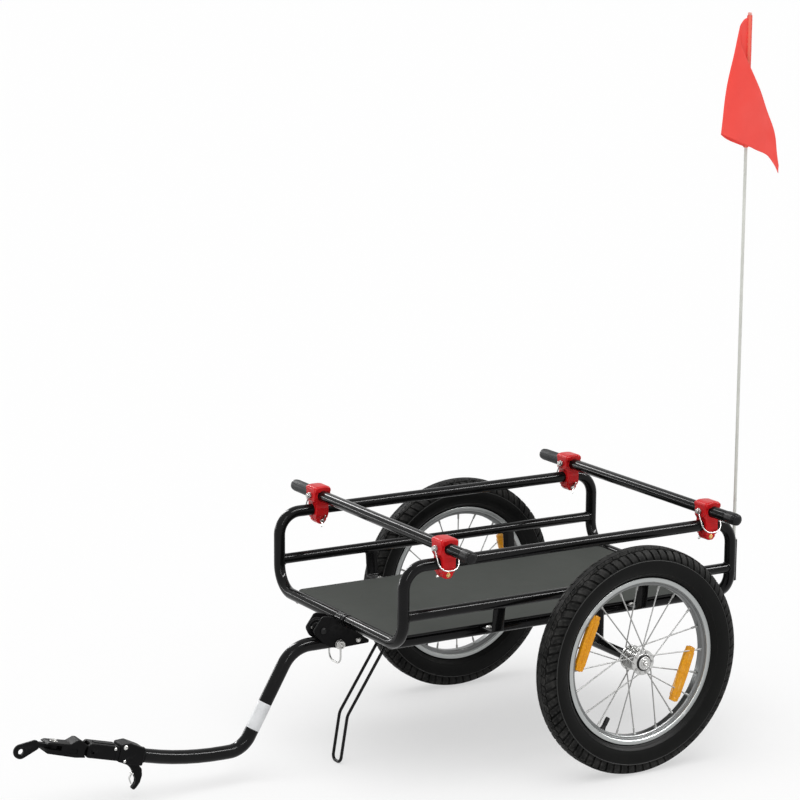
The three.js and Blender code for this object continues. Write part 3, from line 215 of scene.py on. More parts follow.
def doubled_area(pts):
    """Twice an outline's area, above 0 where it turns to the left."""
    return np.sum(pts[:, 0] * np.roll(pts[:, 1], -1) - np.roll(pts[:, 0], -1) * pts[:, 1])


def inset(outline, amount):
    """The outline moved inward, with its mitres held short at sharp corners."""
    pts = np.asarray(outline, float)
    sign = 1 if doubled_area(pts) > 0 else -1
    out = []
    for i, c in enumerate(pts):
        u, v = unit(c - pts[i - 1]), unit(pts[(i + 1) % len(pts)] - c)
        first, second = np.array([-u[1], u[0]]) * sign, np.array([-v[1], v[0]]) * sign
        mitre = first + second
        out.append(c + mitre / max(0.35, float(mitre @ first)) * amount)
    return np.array(out)


def slab(outline, depth, edge=0.8, steps=3):
    """A flat outline in the XY plane with rounded edges, centred on that plane."""
    pts = np.asarray(outline, float)
    if doubled_area(pts) < 0:
        pts = pts[::-1]
    layers = [(along - depth / 2, less) for along, less in (quarter(edge, steps) if edge > 0 else [(0, 0)])]
    layers += [(-z, less) for z, less in reversed(layers)]
    verts = []
    for z, less in layers:
        ring = inset(pts, less) if less > 0 else pts
        verts.append(np.column_stack([ring, np.full(len(ring), z)]))
    return np.vstack(verts), ring_faces(len(layers), len(pts), False)


def lathe(profile, sides=64, closed=False, edge=0.0):
    """Turned about X from (along, radius)."""
    pts = rounded(profile, edge, 3, closed) if edge else np.asarray(profile, float)
    verts, faces, rings = [], [], []
    for along, radius in pts:
        count = 1 if radius < 1e-6 else sides
        rings.append([len(verts) + k for k in range(count)])
        for k in range(count):
            a = 2 * math.pi * k / sides
            verts.append((along, radius * math.cos(a), radius * math.sin(a)) if count > 1 else (along, 0, 0))
    for i in range(len(rings) if closed else len(rings) - 1):
        a, b = rings[i], rings[(i + 1) % len(rings)]
        for k in range(sides):
            m = (k + 1) % sides
            if len(a) == 1 and len(b) > 1:
                faces.append((a[0], b[m], b[k]))
            elif len(b) == 1 and len(a) > 1:
                faces.append((a[k], a[m], b[0]))
            elif len(a) > 1:
                faces.append((a[k], a[m], b[m], b[k]))
    return np.array(verts, float), faces


def bead(base, way, r, other, line, big, thick=1.7, seed=0.0):
    """A weld along the curve where a tube from base along way meets a tube about the line."""
    way, line = unit(way), unit(line)
    u = unit(line - way * (line @ way))
    v = np.cross(way, u)
    count, unevenness = 44, 0.13
    points, swell = [], []
    for k in range(count):
        a = 2 * math.pi * k / count
        p = np.asarray(base, float) + r * (math.cos(a) * u + math.sin(a) * v)
        gap = p - np.asarray(other, float)
        w, q = way - line * (way @ line), gap - line * (gap @ line)
        aa, bb, cc = w @ w, 2 * q @ w, q @ q - big * big
        root = bb * bb - 4 * aa * cc
        points.append(None if root < 0 else p + way * (-bb - math.sqrt(root)) / (2 * aa))
        swell.append(1 + unevenness * math.sin(k * 2.9 + seed))
    misses = [k for k in range(count) if points[k] is None]
    if not misses:
        return sweep(points, thick, 10, closed=True, swell=swell)
    kept = [k % count for k in range(misses[-1] + 1, misses[-1] + 1 + count) if points[k % count] is not None]
    return sweep([points[k] for k in kept], thick, 10, edge=0.5, swell=[swell[k] for k in kept])


def raw(name, part):
    """A bare mesh object in the scene."""
    mesh = bpy.data.meshes.new(name)
    mesh.from_pydata([tuple(v) for v in np.asarray(part[0], float).tolist()], [], part[1])
    mesh.update()
    thing = bpy.data.objects.new(name, mesh)
    bpy.context.scene.collection.objects.link(thing)
    return thing


def carved(base, adds=(), cuts=()):
    """Solids joined and cut exactly, as one part."""
    things = [raw("work", base)]
    for kind, group in (("UNION", adds), ("DIFFERENCE", cuts)):
        for part in group:
            tool = raw("tool", part)
            things.append(tool)
            mod = things[0].modifiers.new("cut", "BOOLEAN")
            mod.object, mod.operation, mod.solver = tool, kind, "EXACT"
    bpy.context.view_layer.update()
    graph = bpy.context.evaluated_depsgraph_get()
    mesh = bpy.data.meshes.new_from_object(things[0].evaluated_get(graph))
    verts = np.array([v.co[:] for v in mesh.vertices], float)
    faces = [tuple(p.vertices) for p in mesh.polygons]
    for thing in things:
        data = thing.data
        bpy.data.objects.remove(thing)
        bpy.data.meshes.remove(data)
    bpy.data.meshes.remove(mesh)
    return verts, faces


def piece(name, parts, material, body, node_name=None, slot=None, side=1, at=(0, 0, 0), pivot=None, sharp=32,
          weighted=False):
    """One visible piece: mirrored where side is -1, moved to at, with its origin at pivot."""
    verts, faces = merged([moved(mirrored(p, side), at) for p in parts])
    shift = np.array([0, SHIFT, 0])
    origin = np.zeros(3) if pivot is None else np.asarray(pivot, float) + shift
    thing = raw(name, ((verts + shift - origin) * MM, faces))
    thing.location = origin * MM
    for polygon in thing.data.polygons:
        polygon.use_smooth = True
    thing.data.set_sharp_from_angle(angle=rad(sharp))
    if weighted:
        mod = thing.modifiers.new("normals", "WEIGHTED_NORMAL")
        mod.keep_sharp = True
    thing.data.materials.append(material)
    bpy.context.view_layer.update()
    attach(thing, body)
    if node_name:
        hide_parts(node_name)
    slot or SLOTS[material.name]
    return thing


# ---------------------------------------------------------------- materials
def rgb(value):
    """A colour, or a grey from one number."""
    return tuple(value) if hasattr(value, "__len__") else (value,) * 3


def feed(tree, value, socket):
    """Links a socket, or sets a plain value."""
    if hasattr(value, "links"):
        tree.links.new(value, socket)
    else:
        socket.default_value = value


def node(tree, kind, links=(), **values):
    """A shader node; values are settings, plain inputs or sockets, links are (socket, input)."""
    made = tree.nodes.new("ShaderNode" + kind)
    for key, value in values.items():
        if hasattr(made, key) and key not in made.inputs:
            setattr(made, key, value)
        else:
            feed(tree, value, made.inputs[key])
    for source, target in links:
        tree.links.new(source, made.inputs[target])
    return made


def maths(tree, operation, *terms):
    made = node(tree, "Math", operation=operation)
    for term, socket in zip(terms, made.inputs):
        feed(tree, term, socket)
    return made.outputs[0]


def ramp(tree, source, low, high, to_low=0.0, to_high=1.0):
    """Maps low..high to to_low..to_high and stops there."""
    return node(tree, "MapRange", [(source, 0)], **{
        "From Min": low, "From Max": high, "To Min": to_low, "To Max": to_high, "clamp": True}).outputs[0]


def own_space(tree):
    """The place on the piece, in its own axes."""
    return node(tree, "TexCoord").outputs["Object"]


def noise(tree, scale, detail, rough=0.5, place=None):
    """Cloudy values about 0.5; scale is a number or a socket."""
    place = own_space(tree) if place is None else place
    return node(tree, "TexNoise", Vector=place, Scale=scale, Detail=detail, Roughness=rough).outputs[0]


def group(name, inputs, outputs):
    """A node group with number sockets only."""
    tree = bpy.data.node_groups.new(name, "ShaderNodeTree")
    for label, value in inputs.items():
        tree.interface.new_socket(label, in_out="INPUT", socket_type="NodeSocketFloat").default_value = value
    for label in outputs:
        tree.interface.new_socket(label, in_out="OUTPUT", socket_type="NodeSocketFloat")
    return tree, tree.nodes.new("NodeGroupInput").outputs, tree.nodes.new("NodeGroupOutput").inputs


def make_grain():
    """Fine moulded or painted grain: a height and a slow patchy mask."""
    tree, given, leave = group("grain", {"Scale": 900.0, "Patch": 30.0}, ["Height", "Mask"])
    feed(tree, noise(tree, given["Scale"], 3.0, 0.55), leave["Height"])
    feed(tree, ramp(tree, noise(tree, given["Patch"], 5.0, 0.6), 0.3, 0.7), leave["Mask"])
    return tree


def make_wear():
    """Rubbed edges: high on convex edges, broken up by noise."""
    tree, given, leave = group("wear", {"Low": 0.53, "High": 0.6, "Scale": 160.0}, ["Mask"])
    geometry = node(tree, "NewGeometry")
    edge = node(tree, "MapRange", [(geometry.outputs["Pointiness"], 0), (given["Low"], 1),
                                             (given["High"], 2)], clamp=True).outputs[0]
    broken = ramp(tree, noise(tree, given["Scale"], 4.0), 0.42, 0.62)
    feed(tree, maths(tree, "MULTIPLY", edge, broken), leave["Mask"])
    return tree


def make_dust():
    """Settled dust: more on faces that look up, patchy."""
    tree, given, leave = group("dust", {"Scale": 45.0, "Amount": 0.5}, ["Mask"])
    geometry = node(tree, "NewGeometry")
    split = node(tree, "SeparateXYZ", [(geometry.outputs["Normal"], 0)])
    up = ramp(tree, split.outputs[2], 0.1, 1.0)
    patch = ramp(tree, noise(tree, given["Scale"], 6.0, 0.7), 0.38, 0.72)
    feed(tree, maths(tree, "MULTIPLY", maths(tree, "MULTIPLY", up, patch), given["Amount"]), leave["Mask"])
    return tree


GRAIN, WEAR, DUST = make_grain(), make_wear(), make_dust()
SLOTS = {}


def shader(name, slot, color, rough, metal=0.0, **fixed):
    """A material, its tree and its Principled node. slot is kept in SLOTS under the material's name."""
    made = bpy.data.materials.new(name)
    made.use_nodes = True
    SLOTS[made.name] = slot
    bsdf = made.node_tree.nodes["Principled BSDF"]
    bsdf.inputs["Base Color"].default_value = (*rgb(color), 1)
    bsdf.inputs["Roughness"].default_value = rough
    bsdf.inputs["Metallic"].default_value = metal
    for key, value in fixed.items():
        bsdf.inputs[key.replace("_", " ")].default_value = value
    return made, made.node_tree, bsdf


def use(tree, what, **values):
    """The outputs of a node group with some inputs set."""
    made = tree.nodes.new("ShaderNodeGroup")
    made.node_tree = what
    for key, value in values.items():
        made.inputs[key].default_value = value
    return made.outputs


def mixed(tree, first, second, mask, amount=1.0):
    """Colour first turned to second by mask times amount."""
    mix = node(tree, "Mix", data_type="RGBA")
    feed(tree, maths(tree, "MULTIPLY", mask, amount), mix.inputs[0])
    for index, value in ((6, first), (7, second)):
        feed(tree, value if hasattr(value, "links") else (*rgb(value), 1), mix.inputs[index])
    return mix.outputs[2]


def bump(tree, bsdf, height, strength, distance=0.0002, before=None):
    """Relief on top of what before gives; distance is in metres."""
    made = node(tree, "Bump", [(height, "Height")], Strength=strength, Distance=distance)
    if before is not None:
        tree.links.new(before, made.inputs["Normal"])
    tree.links.new(made.outputs[0], bsdf.inputs["Normal"])
    return made.outputs[0]


def dressed(tree, bsdf, tone, mask=None, low=0.0, high=1.0):
    """Gives the shader its colour, and a roughness that goes from low to high with the mask."""
    tree.links.new(tone, bsdf.inputs["Base Color"])
    if mask is not None:
        tree.links.new(ramp(tree, mask, 0.0, 1.0, low, high), bsdf.inputs["Roughness"])


def coated(name, slot, color, rough, metal=0.0, worn=0.2, wear=0.5, dust=0.12, grain=900.0, strength=0.12,
           spread=0.08, patch=30.0, **fixed):
    """Paint, plastic, rubber and bare metal: grain, patchy gloss, rubbed edges and a little dust."""
    made, tree, bsdf = shader(name, slot, color, rough, metal, **fixed)
    g, w, d = use(tree, GRAIN, Scale=grain, Patch=patch), use(tree, WEAR), use(tree, DUST, Amount=dust)
    tone = mixed(tree, color, [min(1.0, c * 1.35 + 0.002) for c in rgb(color)], g["Mask"], 0.6)
    tone = mixed(tree, tone, worn, w["Mask"], wear)
    tone = mixed(tree, tone, (0.34, 0.33, 0.31), d["Mask"])
    dressed(tree, bsdf, tone)
    base = ramp(tree, g["Mask"], 0.0, 1.0, max(0.03, rough - spread), min(1.0, rough + spread))
    feed(tree, maths(tree, "MULTIPLY_ADD", d["Mask"], 0.5, base), bsdf.inputs["Roughness"])
    bump(tree, bsdf, g["Height"], strength)
    return made


black_paint = coated("black_paint", "black_paint", (0.003, 0.003, 0.0032), 0.15, worn=0.05, wear=0.05, dust=0.01,
                     grain=700.0, strength=0.02, spread=0.04, Specular_IOR_Level=0.15)
black_casting = coated("black_casting", "black_casting", (0.0042, 0.0042, 0.0045), 0.48, worn=0.06, wear=0.35,
                       dust=0.012, grain=1500.0, strength=0.22, Specular_IOR_Level=0.07)
black_plastic = coated("black_plastic", "black_rubber", (0.007, 0.007, 0.0074), 0.38, worn=0.08, wear=0.4, dust=0.04,
                       grain=1300.0, strength=0.25, Specular_IOR_Level=0.2)
cap_black = coated("cap_black", "black_rubber", (0.008, 0.008, 0.0085), 0.4, worn=0.05, wear=0.2, dust=0.02,
                   grain=1100.0, strength=0.2, Specular_IOR_Level=0.15)
cap_rubber = coated("cap_rubber", "black_rubber", (0.022, 0.023, 0.024), 0.5, worn=0.09, wear=0.3, dust=0.05,
                    grain=1100.0, strength=0.3, Specular_IOR_Level=0.15)
red_plastic = coated("red_plastic", "red_plastic", (0.56, 0.006, 0.009), 0.3, worn=(0.70, 0.05, 0.045), wear=0.35,
                     dust=0.008, grain=420.0, strength=0.09, spread=0.07, Specular_IOR_Level=0.16)
zinc_steel = coated("zinc_steel", "bright_steel", (0.46, 0.455, 0.44), 0.27, 1.0, worn=(0.85, 0.84, 0.8), wear=0.6,
                    dust=0.03, grain=1600.0, strength=0.03, spread=0.07)
brass = coated("brass", "bright_steel", (0.62, 0.42, 0.16), 0.3, 1.0, worn=(0.9, 0.7, 0.36), dust=0.04, grain=1400.0)
pole_white = coated("pole_white", "pale_pole", (0.62, 0.63, 0.585), 0.34, worn=(0.75, 0.75, 0.7), wear=0.3, dust=0.04,
                    grain=300.0, strength=0.06, patch=14.0)
cap_pink = coated("cap_pink", "red_plastic", (0.78, 0.30, 0.25), 0.4, worn=(0.85, 0.5, 0.45), wear=0.3, dust=0.03,
                  grain=600.0)
label_white = coated("label_white", "pale_pole", (0.66, 0.67, 0.68), 0.32, worn=0.6, wear=0.4, dust=0.05, grain=500.0,
                     strength=0.06)
spoke_steel = coated("spoke_steel", "bright_alloy", (0.31, 0.31, 0.305), 0.62, 1.0, worn=0.4, wear=0.04, dust=0.02,
                     grain=1600.0, strength=0.01)
wire_steel = coated("wire_steel", "bright_steel", (0.5, 0.5, 0.49), 0.42, 1.0, worn=0.6, wear=0.04, dust=0.01,
                    grain=1600.0, strength=0.01, spread=0.04)
thread = coated("thread", "orange_cloth", (0.9, 0.16, 0.12), 0.6, worn=(1.0, 0.6, 0.5), wear=0.3, dust=0.0,
                grain=2400.0, strength=0.4)


def deck_material():
    """Matt laminate with fine specks and a few scuffs that run lengthwise."""
    made, tree, bsdf = shader("deck_laminate", "grey_deck", (0.08, 0.083, 0.08), 0.7, Specular_IOR_Level=0.05)
    g, d = use(tree, GRAIN, Scale=1400.0, Patch=7.0), use(tree, DUST, Amount=0.25, Scale=24.0)
    speck = node(tree, "TexVoronoi", Vector=own_space(tree), Scale=620.0)
    dots = ramp(tree, speck.outputs["Distance"], 0.16, 0.34, 1.0, 0.0)
    stretch = node(tree, "Mapping", Vector=own_space(tree))
    stretch.inputs["Scale"].default_value = (260.0, 9.0, 60.0)
    scuffs = ramp(tree, noise(tree, 1.0, 5.0, place=stretch.outputs[0]), 0.62, 0.76)
    tone = mixed(tree, (0.063, 0.068, 0.062), (0.072, 0.077, 0.071), g["Mask"])
    tone = mixed(tree, tone, (0.12, 0.125, 0.12), dots, 0.14)
    tone = mixed(tree, tone, (0.12, 0.125, 0.12), scuffs, 0.07)
    tone = mixed(tree, tone, (0.2, 0.2, 0.19), d["Mask"], 0.15)
    dressed(tree, bsdf, tone, g["Mask"], 0.62, 0.74)
    bump(tree, bsdf, dots, 0.12, 0.0001, bump(tree, bsdf, g["Height"], 0.18, 0.00015))
    return made


def polar(tree):
    """Radius about the piece's X axis, and the place along it."""
    split = node(tree, "SeparateXYZ", [(own_space(tree), 0)]).outputs
    squares = [maths(tree, "MULTIPLY", split[i], split[i]) for i in (1, 2)]
    return maths(tree, "SQRT", maths(tree, "ADD", *squares)), split[0]


def tyre_material():
    """Black rubber: dusty and dull on the tread, with one pale line on the wall that is a painted highlight, and block
    edges painted paler as rubbed rubber and highlight together.
    """
    made, tree, bsdf = shader("tyre_rubber", "black_rubber", 0.004, 0.5, Specular_IOR_Level=0.09)
    radius, _ = polar(tree)
    g, w = use(tree, GRAIN, Scale=1500.0, Patch=22.0), use(tree, WEAR, Low=0.515, High=0.6, Scale=240.0)
    tread = ramp(tree, radius, 0.197, 0.203)
    # A painted highlight: a pale ring round the wall at its raised ridge, the same all round.
    line = maths(tree, "COMPARE", radius, 0.1952, 0.0008)
    dusty = maths(tree, "MULTIPLY", tread, ramp(tree, noise(tree, 60.0, 6.0), 0.4, 0.7))
    tone = mixed(tree, (0.0034, 0.0036, 0.0034), (0.0058, 0.006, 0.0056), g["Mask"])
    tone = mixed(tree, tone, (0.05, 0.049, 0.047), dusty, 0.5)
    # Pale block edges: partly rubbed rubber and partly a painted highlight.
    tone = mixed(tree, tone, (0.10, 0.098, 0.094), w["Mask"], 0.6)
    tone = mixed(tree, tone, (0.09, 0.09, 0.088), line, 0.5)
    dressed(tree, bsdf, tone, tread, 0.42, 0.6)
    bump(tree, bsdf, g["Height"], 0.3, 0.00015)
    return made


def turned_metal(name, color, rough, fine=3800.0):
    """Metal with marks that run round the wheel."""
    made, tree, bsdf = shader(name, "bright_alloy", color, rough, 1.0)
    radius, along = polar(tree)
    place = node(tree, "CombineXYZ", [(radius, 0), (along, 1)]).outputs[0]
    spread = node(tree, "Mapping", Vector=place)
    spread.inputs["Scale"].default_value = (fine, fine, 1.0)
    rings = noise(tree, 1.0, 3.0, place=spread.outputs[0])
    g, w = use(tree, GRAIN, Scale=1100.0, Patch=20.0), use(tree, WEAR, Low=0.52, High=0.6)
    tone = mixed(tree, [c * 0.86 for c in color], [min(1, c * 1.12) for c in color], rings)
    tone = mixed(tree, tone, [c * 0.7 for c in color], g["Mask"], 0.28)
    tone = mixed(tree, tone, (0.82, 0.82, 0.8), w["Mask"], 0.4)
    dressed(tree, bsdf, tone, g["Mask"], rough - 0.06, rough + 0.1)
    bump(tree, bsdf, g["Height"], 0.02, 0.0001, bump(tree, bsdf, rings, 0.03, 0.0001))
    return made


def amber_material():
    """A reflector's lens with prisms behind it."""
    made, tree, bsdf = shader("amber_lens", "red_plastic", (0.95, 0.44, 0.015), 0.24, Coat_Weight=0.05,
                              Coat_Roughness=0.1, Specular_IOR_Level=0.2)
    prisms = node(tree, "TexVoronoi", Vector=own_space(tree), Scale=230.0)
    g, w = use(tree, GRAIN, Scale=600.0, Patch=45.0), use(tree, WEAR, Low=0.51, High=0.58, Scale=90.0)
    facet = ramp(tree, prisms.outputs["Distance"], 0.1, 0.7)
    tone = mixed(tree, (0.96, 0.44, 0.012), (0.80, 0.32, 0.006), g["Mask"], 0.7)
    tone = mixed(tree, tone, (0.60, 0.20, 0.002), facet, 0.5)
    tone = mixed(tree, tone, (0.98, 0.70, 0.24), w["Mask"], 0.7)
    dressed(tree, bsdf, tone)
    bump(tree, bsdf, g["Height"], 0.05, 0.0002, bump(tree, bsdf, facet, 0.25, 0.0003))
    return made


def cloth_material(name):
    """Woven red nylon."""
    made, tree, bsdf = shader(name, "orange_cloth", (1.0, 0.07, 0.05), 0.65, Specular_IOR_Level=0.08)
    g = use(tree, GRAIN, Scale=1800.0, Patch=9.0)
    weft, warp = (node(tree, "TexWave", Vector=own_space(tree), Scale=420.0, Distortion=0.6,
                       bands_direction=way).outputs[1] for way in "ZY")
    weave = maths(tree, "MAXIMUM", weft, warp)
    tone = mixed(tree, (1.0, 0.078, 0.062), (1.0, 0.105, 0.088), g["Mask"])
    tone = mixed(tree, tone, (1.0, 0.16, 0.13), weave, 0.14)
    dressed(tree, bsdf, tone, g["Mask"], 0.5, 0.64)
    bump(tree, bsdf, weave, 0.25, 0.0001)
    return made


def sleeve_cloth():
    """The flag's cloth over the pole, with painted sheen paler on the side that faces the camera and painted shade
    darker towards the sides.
    """
    made = cloth_material("flag_nylon_sleeve")
    tree = made.node_tree
    bsdf = tree.nodes["Principled BSDF"]
    base = bsdf.inputs["Base Color"].links[0].from_socket
    geometry = node(tree, "NewGeometry")
    turn = node(tree, "VectorMath", [(geometry.outputs["Normal"], 0)], operation="DOT_PRODUCT")
    turn.inputs[1].default_value = (0.82, -0.57, 0)
    # Painted light: where the normal faces the camera the cloth is painted paler as a sheen, and where it turns away it
    # is painted darker as shade.
    painted_sheen_mask, edge = (ramp(tree, turn.outputs["Value"], 0.82, end) for end in (0.96, 0.45))
    tone = mixed(tree, base, (1.0, 0.24, 0.16), painted_sheen_mask, 0.8)
    dressed(tree, bsdf, mixed(tree, tone, (0.72, 0.045, 0.035), edge, 0.8))
    return made


deck_laminate = deck_material()
tyre_rubber = tyre_material()
rim_alloy = turned_metal("rim_alloy", (0.42, 0.435, 0.43), 0.38)
channel_alloy = turned_metal("channel_alloy", (0.18, 0.185, 0.185), 0.34)
hub_steel = turned_metal("hub_steel", (0.55, 0.55, 0.54), 0.24, 3040.0)
amber = amber_material()
nylon = cloth_material("flag_nylon")
sheened_sleeve_nylon = sleeve_cloth()

# ---------------------------------------------------------------- frame
SIDE, FRONT, REAR = 237.0, -457.0, 273.0
TOP, CROSS, RAIL_Z, MID_Z, DECK = 433.0, 284.0, 276.0, 341.3, 290.3
RAIL_X, BEAM_Z = 178.0, 278.0
TUBE, MID, RAIL, BEAM = 11.0, 10.0, 10, 8  # radii
STRAPS, STRAP_WIDTH, FOOT_DROP = (-252.0, 70.0), 25, 4.3
BEAMS = (("front", -342.0), ("rear", 120.0))
SEAM = 0.15  # from the middle to the end of a loop
OVERLAP = 6  # how far rails end short of the centre line that they run into
WELD_FROM = 30  # how far from its joint a weld's tube is taken as straight
loop_path = route([(SEAM, FRONT, CROSS), (SIDE, FRONT, CROSS), (SIDE, FRONT, TOP), (SIDE, REAR, TOP),
                   (SIDE, REAR, CROSS), (SEAM, REAR, CROSS)], [50, 43, 43, 50], 3)


def strap(place):
    """A strip from the mid rail down to a foot that lies under the deck's edge."""
    top, foot, toe, thick = MID_Z - 2, DECK - FOOT_DROP, 185.6, 3
    outline = [(toe, foot - thick), (SIDE - 4.5, foot - thick), (SIDE + 1.5, top), (SIDE + 1.5 - thick, top),
               (SIDE - 7.5, foot), (toe, foot)]
    shape = rounded(outline, [0.8, 5.5, 0.4, 0.4, 2.5, 0.8], 6)
    return lengthwise(slab(shape, STRAP_WIDTH, 0.5, 2), 0, place, 0)


def strap_welds(place):
    """Welds round a strap where it meets the mid rail."""
    under, half = MID_Z - MID, STRAP_WIDTH / 2
    welds = []
    for end in (-1, 1):
        run = [(SIDE + s * 1.2, place + end * (half - 0.2), under - drop)
               for s, drop in ((1, 0.6), (0, 1.4), (-1, 0.6))]
        welds.append(sweep(run, 1.2, 8, edge=0.3))
    for s in (-1, 1):
        run = [(SIDE + s * 2.0, place + way * (half - 1), under + 0.2) for way in (-1, 1)]
        welds.append(sweep(run, 1.3, 8, edge=0.4))
    return welds


def rail(x, z, radius, other_x, line, seeds):
    """A lengthwise tube and its welds to what it meets in front and behind."""
    tube = sweep([(x, FRONT + OVERLAP, z), (x, REAR - OVERLAP, z)], radius, 40)
    return [tube] + [bead((x, y - way * WELD_FROM, z), (0, way, 0), radius, (other_x, y, CROSS), line, TUBE, seed=seed)
                     for y, way, seed in ((FRONT, -1, seeds[0]), (REAR, 1, seeds[1]))]


dome = lathe([(0, 0.001), (0, 6.4), (0.8, 6.4), (0.8, 4.9), (2.0, 4.4), (3.0, 2.9), (3.4, 1.4), (3.4, 0)], 40)
for name, side in SIDES:
    piece(f"tube_loop_{name}", [sweep(loop_path, TUBE, 48, edge=0.5)], black_paint, "frame", f"side_loop_{name}",
          side=side)
    tube, *welds = rail(SIDE, MID_Z, MID, SIDE, (0, 0, 1), (0, 2))
    parts = [tube] + [strap(place) for place in STRAPS] + welds
    for place in STRAPS:
        parts += strap_welds(place)
    piece(f"rail_mid_{name}", parts, black_paint, "frame", f"mid_rail_{name}", side=side)
    piece(f"rail_deck_{name}", rail(RAIL_X, RAIL_Z, RAIL, 0, (1, 0, 0), (0, 3)), black_paint, "frame",
          f"deck_rail_{name}", side=side)
    piece(f"strap_bolts_{name}", [upright(dome, 201, place, DECK - FOOT_DROP) for place in STRAPS], zinc_steel,
          "frame", side=side)

for end, place in BEAMS:
    parts = [sweep([(-RAIL_X + 5, place, BEAM_Z), (RAIL_X - 5, place, BEAM_Z)], BEAM, 36)]
    for s in (-1, 1):
        parts.append(bead((s * (RAIL_X - WELD_FROM), place, BEAM_Z), (s, 0, 0), BEAM, (s * RAIL_X, place, RAIL_Z),
                          (0, 1, 0), RAIL, 1.5))
    piece(f"beam_{end}", parts, black_paint, "frame", f"deck_beam_{end}")

collar = lathe([(-8, 11.1), (-8, 12.1), (-2.6, 12.4), (-2.0, 11.6), (2.0, 11.6), (2.6, 12.4), (8, 12.1), (8, 11.1)],
               48, True, 0.4)
sleeve = lathe([(-40, 0), (-40, 7.4), (40, 7.4), (40, 0)], 32, edge=0.6)
for end, y, x in (("front", FRONT, 27.0), ("rear", REAR, 0.0)):
    piece(f"splice_collar_{end}", [collar], black_paint, "frame", at=(x, y, CROSS))
    piece(f"splice_sleeve_{end}", [sleeve], zinc_steel, "frame", f"splice_{end}", at=(0, y, CROSS))

DECK_HALF, DECK_GAP, BOARD = 190, 0.3, 4.0
front_edge, rear_edge = FRONT + TUBE + DECK_GAP, REAR - TUBE - DECK_GAP
deck_shape = rounded([(DECK_HALF, rear_edge), (-DECK_HALF, rear_edge), (-DECK_HALF, front_edge),
                      (DECK_HALF, front_edge)], 14, 10)
piece("deck_board", [slab(inset(deck_shape, 1.4), BOARD, 0.5, 2)], deck_laminate, "frame", "deck_panel",
      at=(0, 0, DECK - BOARD / 2), weighted=True)
# The edging is a thin ring, stretched to 2.3 times its height and 1.5 times its width.
EDGING_Z, EDGING_SIDES = DECK - 1.9, 12
trim_path = np.array([(x, y, EDGING_Z) for x, y in inset(deck_shape, 1.5)])
trim, trim_faces = sweep(trim_path, 1.0, EDGING_SIDES, closed=True)
trim_line = np.repeat(trim_path, EDGING_SIDES, 0)
piece("deck_edging", [(trim_line + (trim - trim_line) * np.array([1.5, 1.5, 2.3]), trim_faces)], black_paint, "frame",
      slot="grey_deck")

# ---------------------------------------------------------------- wheels
SPOKES, SPOKE_TURN = 10, 36  # on each flange; degrees that a spoke leans from its hole
TREAD_PITCHES, TYRE_TOP = 38, 217.17
TYRE_MID, TYRE_HEIGHT, TYRE_HALF = 189, 29, 25


def hexagon(radius, depth, edge=0.5):
    corners = [(radius * math.cos(rad(a)), radius * math.sin(rad(a))) for a in range(30, 390, 60)]
    return slab(rounded(corners, 0.6, 3), depth, edge, 3)


def zigzag(a, phase):
    """Degrees that a tread edge at angle a swings sideways."""
    size = abs(a)
    if not 5 < size < 45:
        return 0.0
    swing = abs((phase * 2 + (0.0 if a >= 0 else 0.5)) % 1 - 0.5) * 4 - 1
    return math.copysign(1.9, a) * swing * min(1.0, (size - 5) / 3, (45 - size) / 5)


def tread_depth(a, phase):
    """How deep the tyre is cut at an angle across it and a phase along one pitch; below 0 it is raised."""
    size = abs(a)
    deep, late = phase in (0.03, 0.12), phase in (0.53, 0.62)
    first, second = phase in (0.27, 0.32), phase in (0.77, 0.82)
    if a < 0:
        deep, late, first, second = late, deep, second, first
    if size < 7 and (first or second):
        return 1.0
    if 8 <= size <= 10:
        return 2.0
    if 30 <= size <= 34:
        return 2.4
    if 11 <= size <= 29 and (first or second):
        return 2.2 if first else 1.5
    if 35 <= size <= 79 and deep:
        return 3.0
    if 35 <= size <= 76 and late:
        return 2.8
    if 81 <= size <= 84:
        return -0.6 if size == 82.5 else 0.2
    return {124: -0.1, 126: -0.6, 128: -0.1}.get(size, 0.0)


def tread_skew(size):
    """The share of a pitch by which the blocks run ahead, from the middle to the wall."""
    if size < 30:
        return 0.2 * size / 30
    return 0.2 - 0.28 * (size - 30) / 50 if size < 80 else -0.08


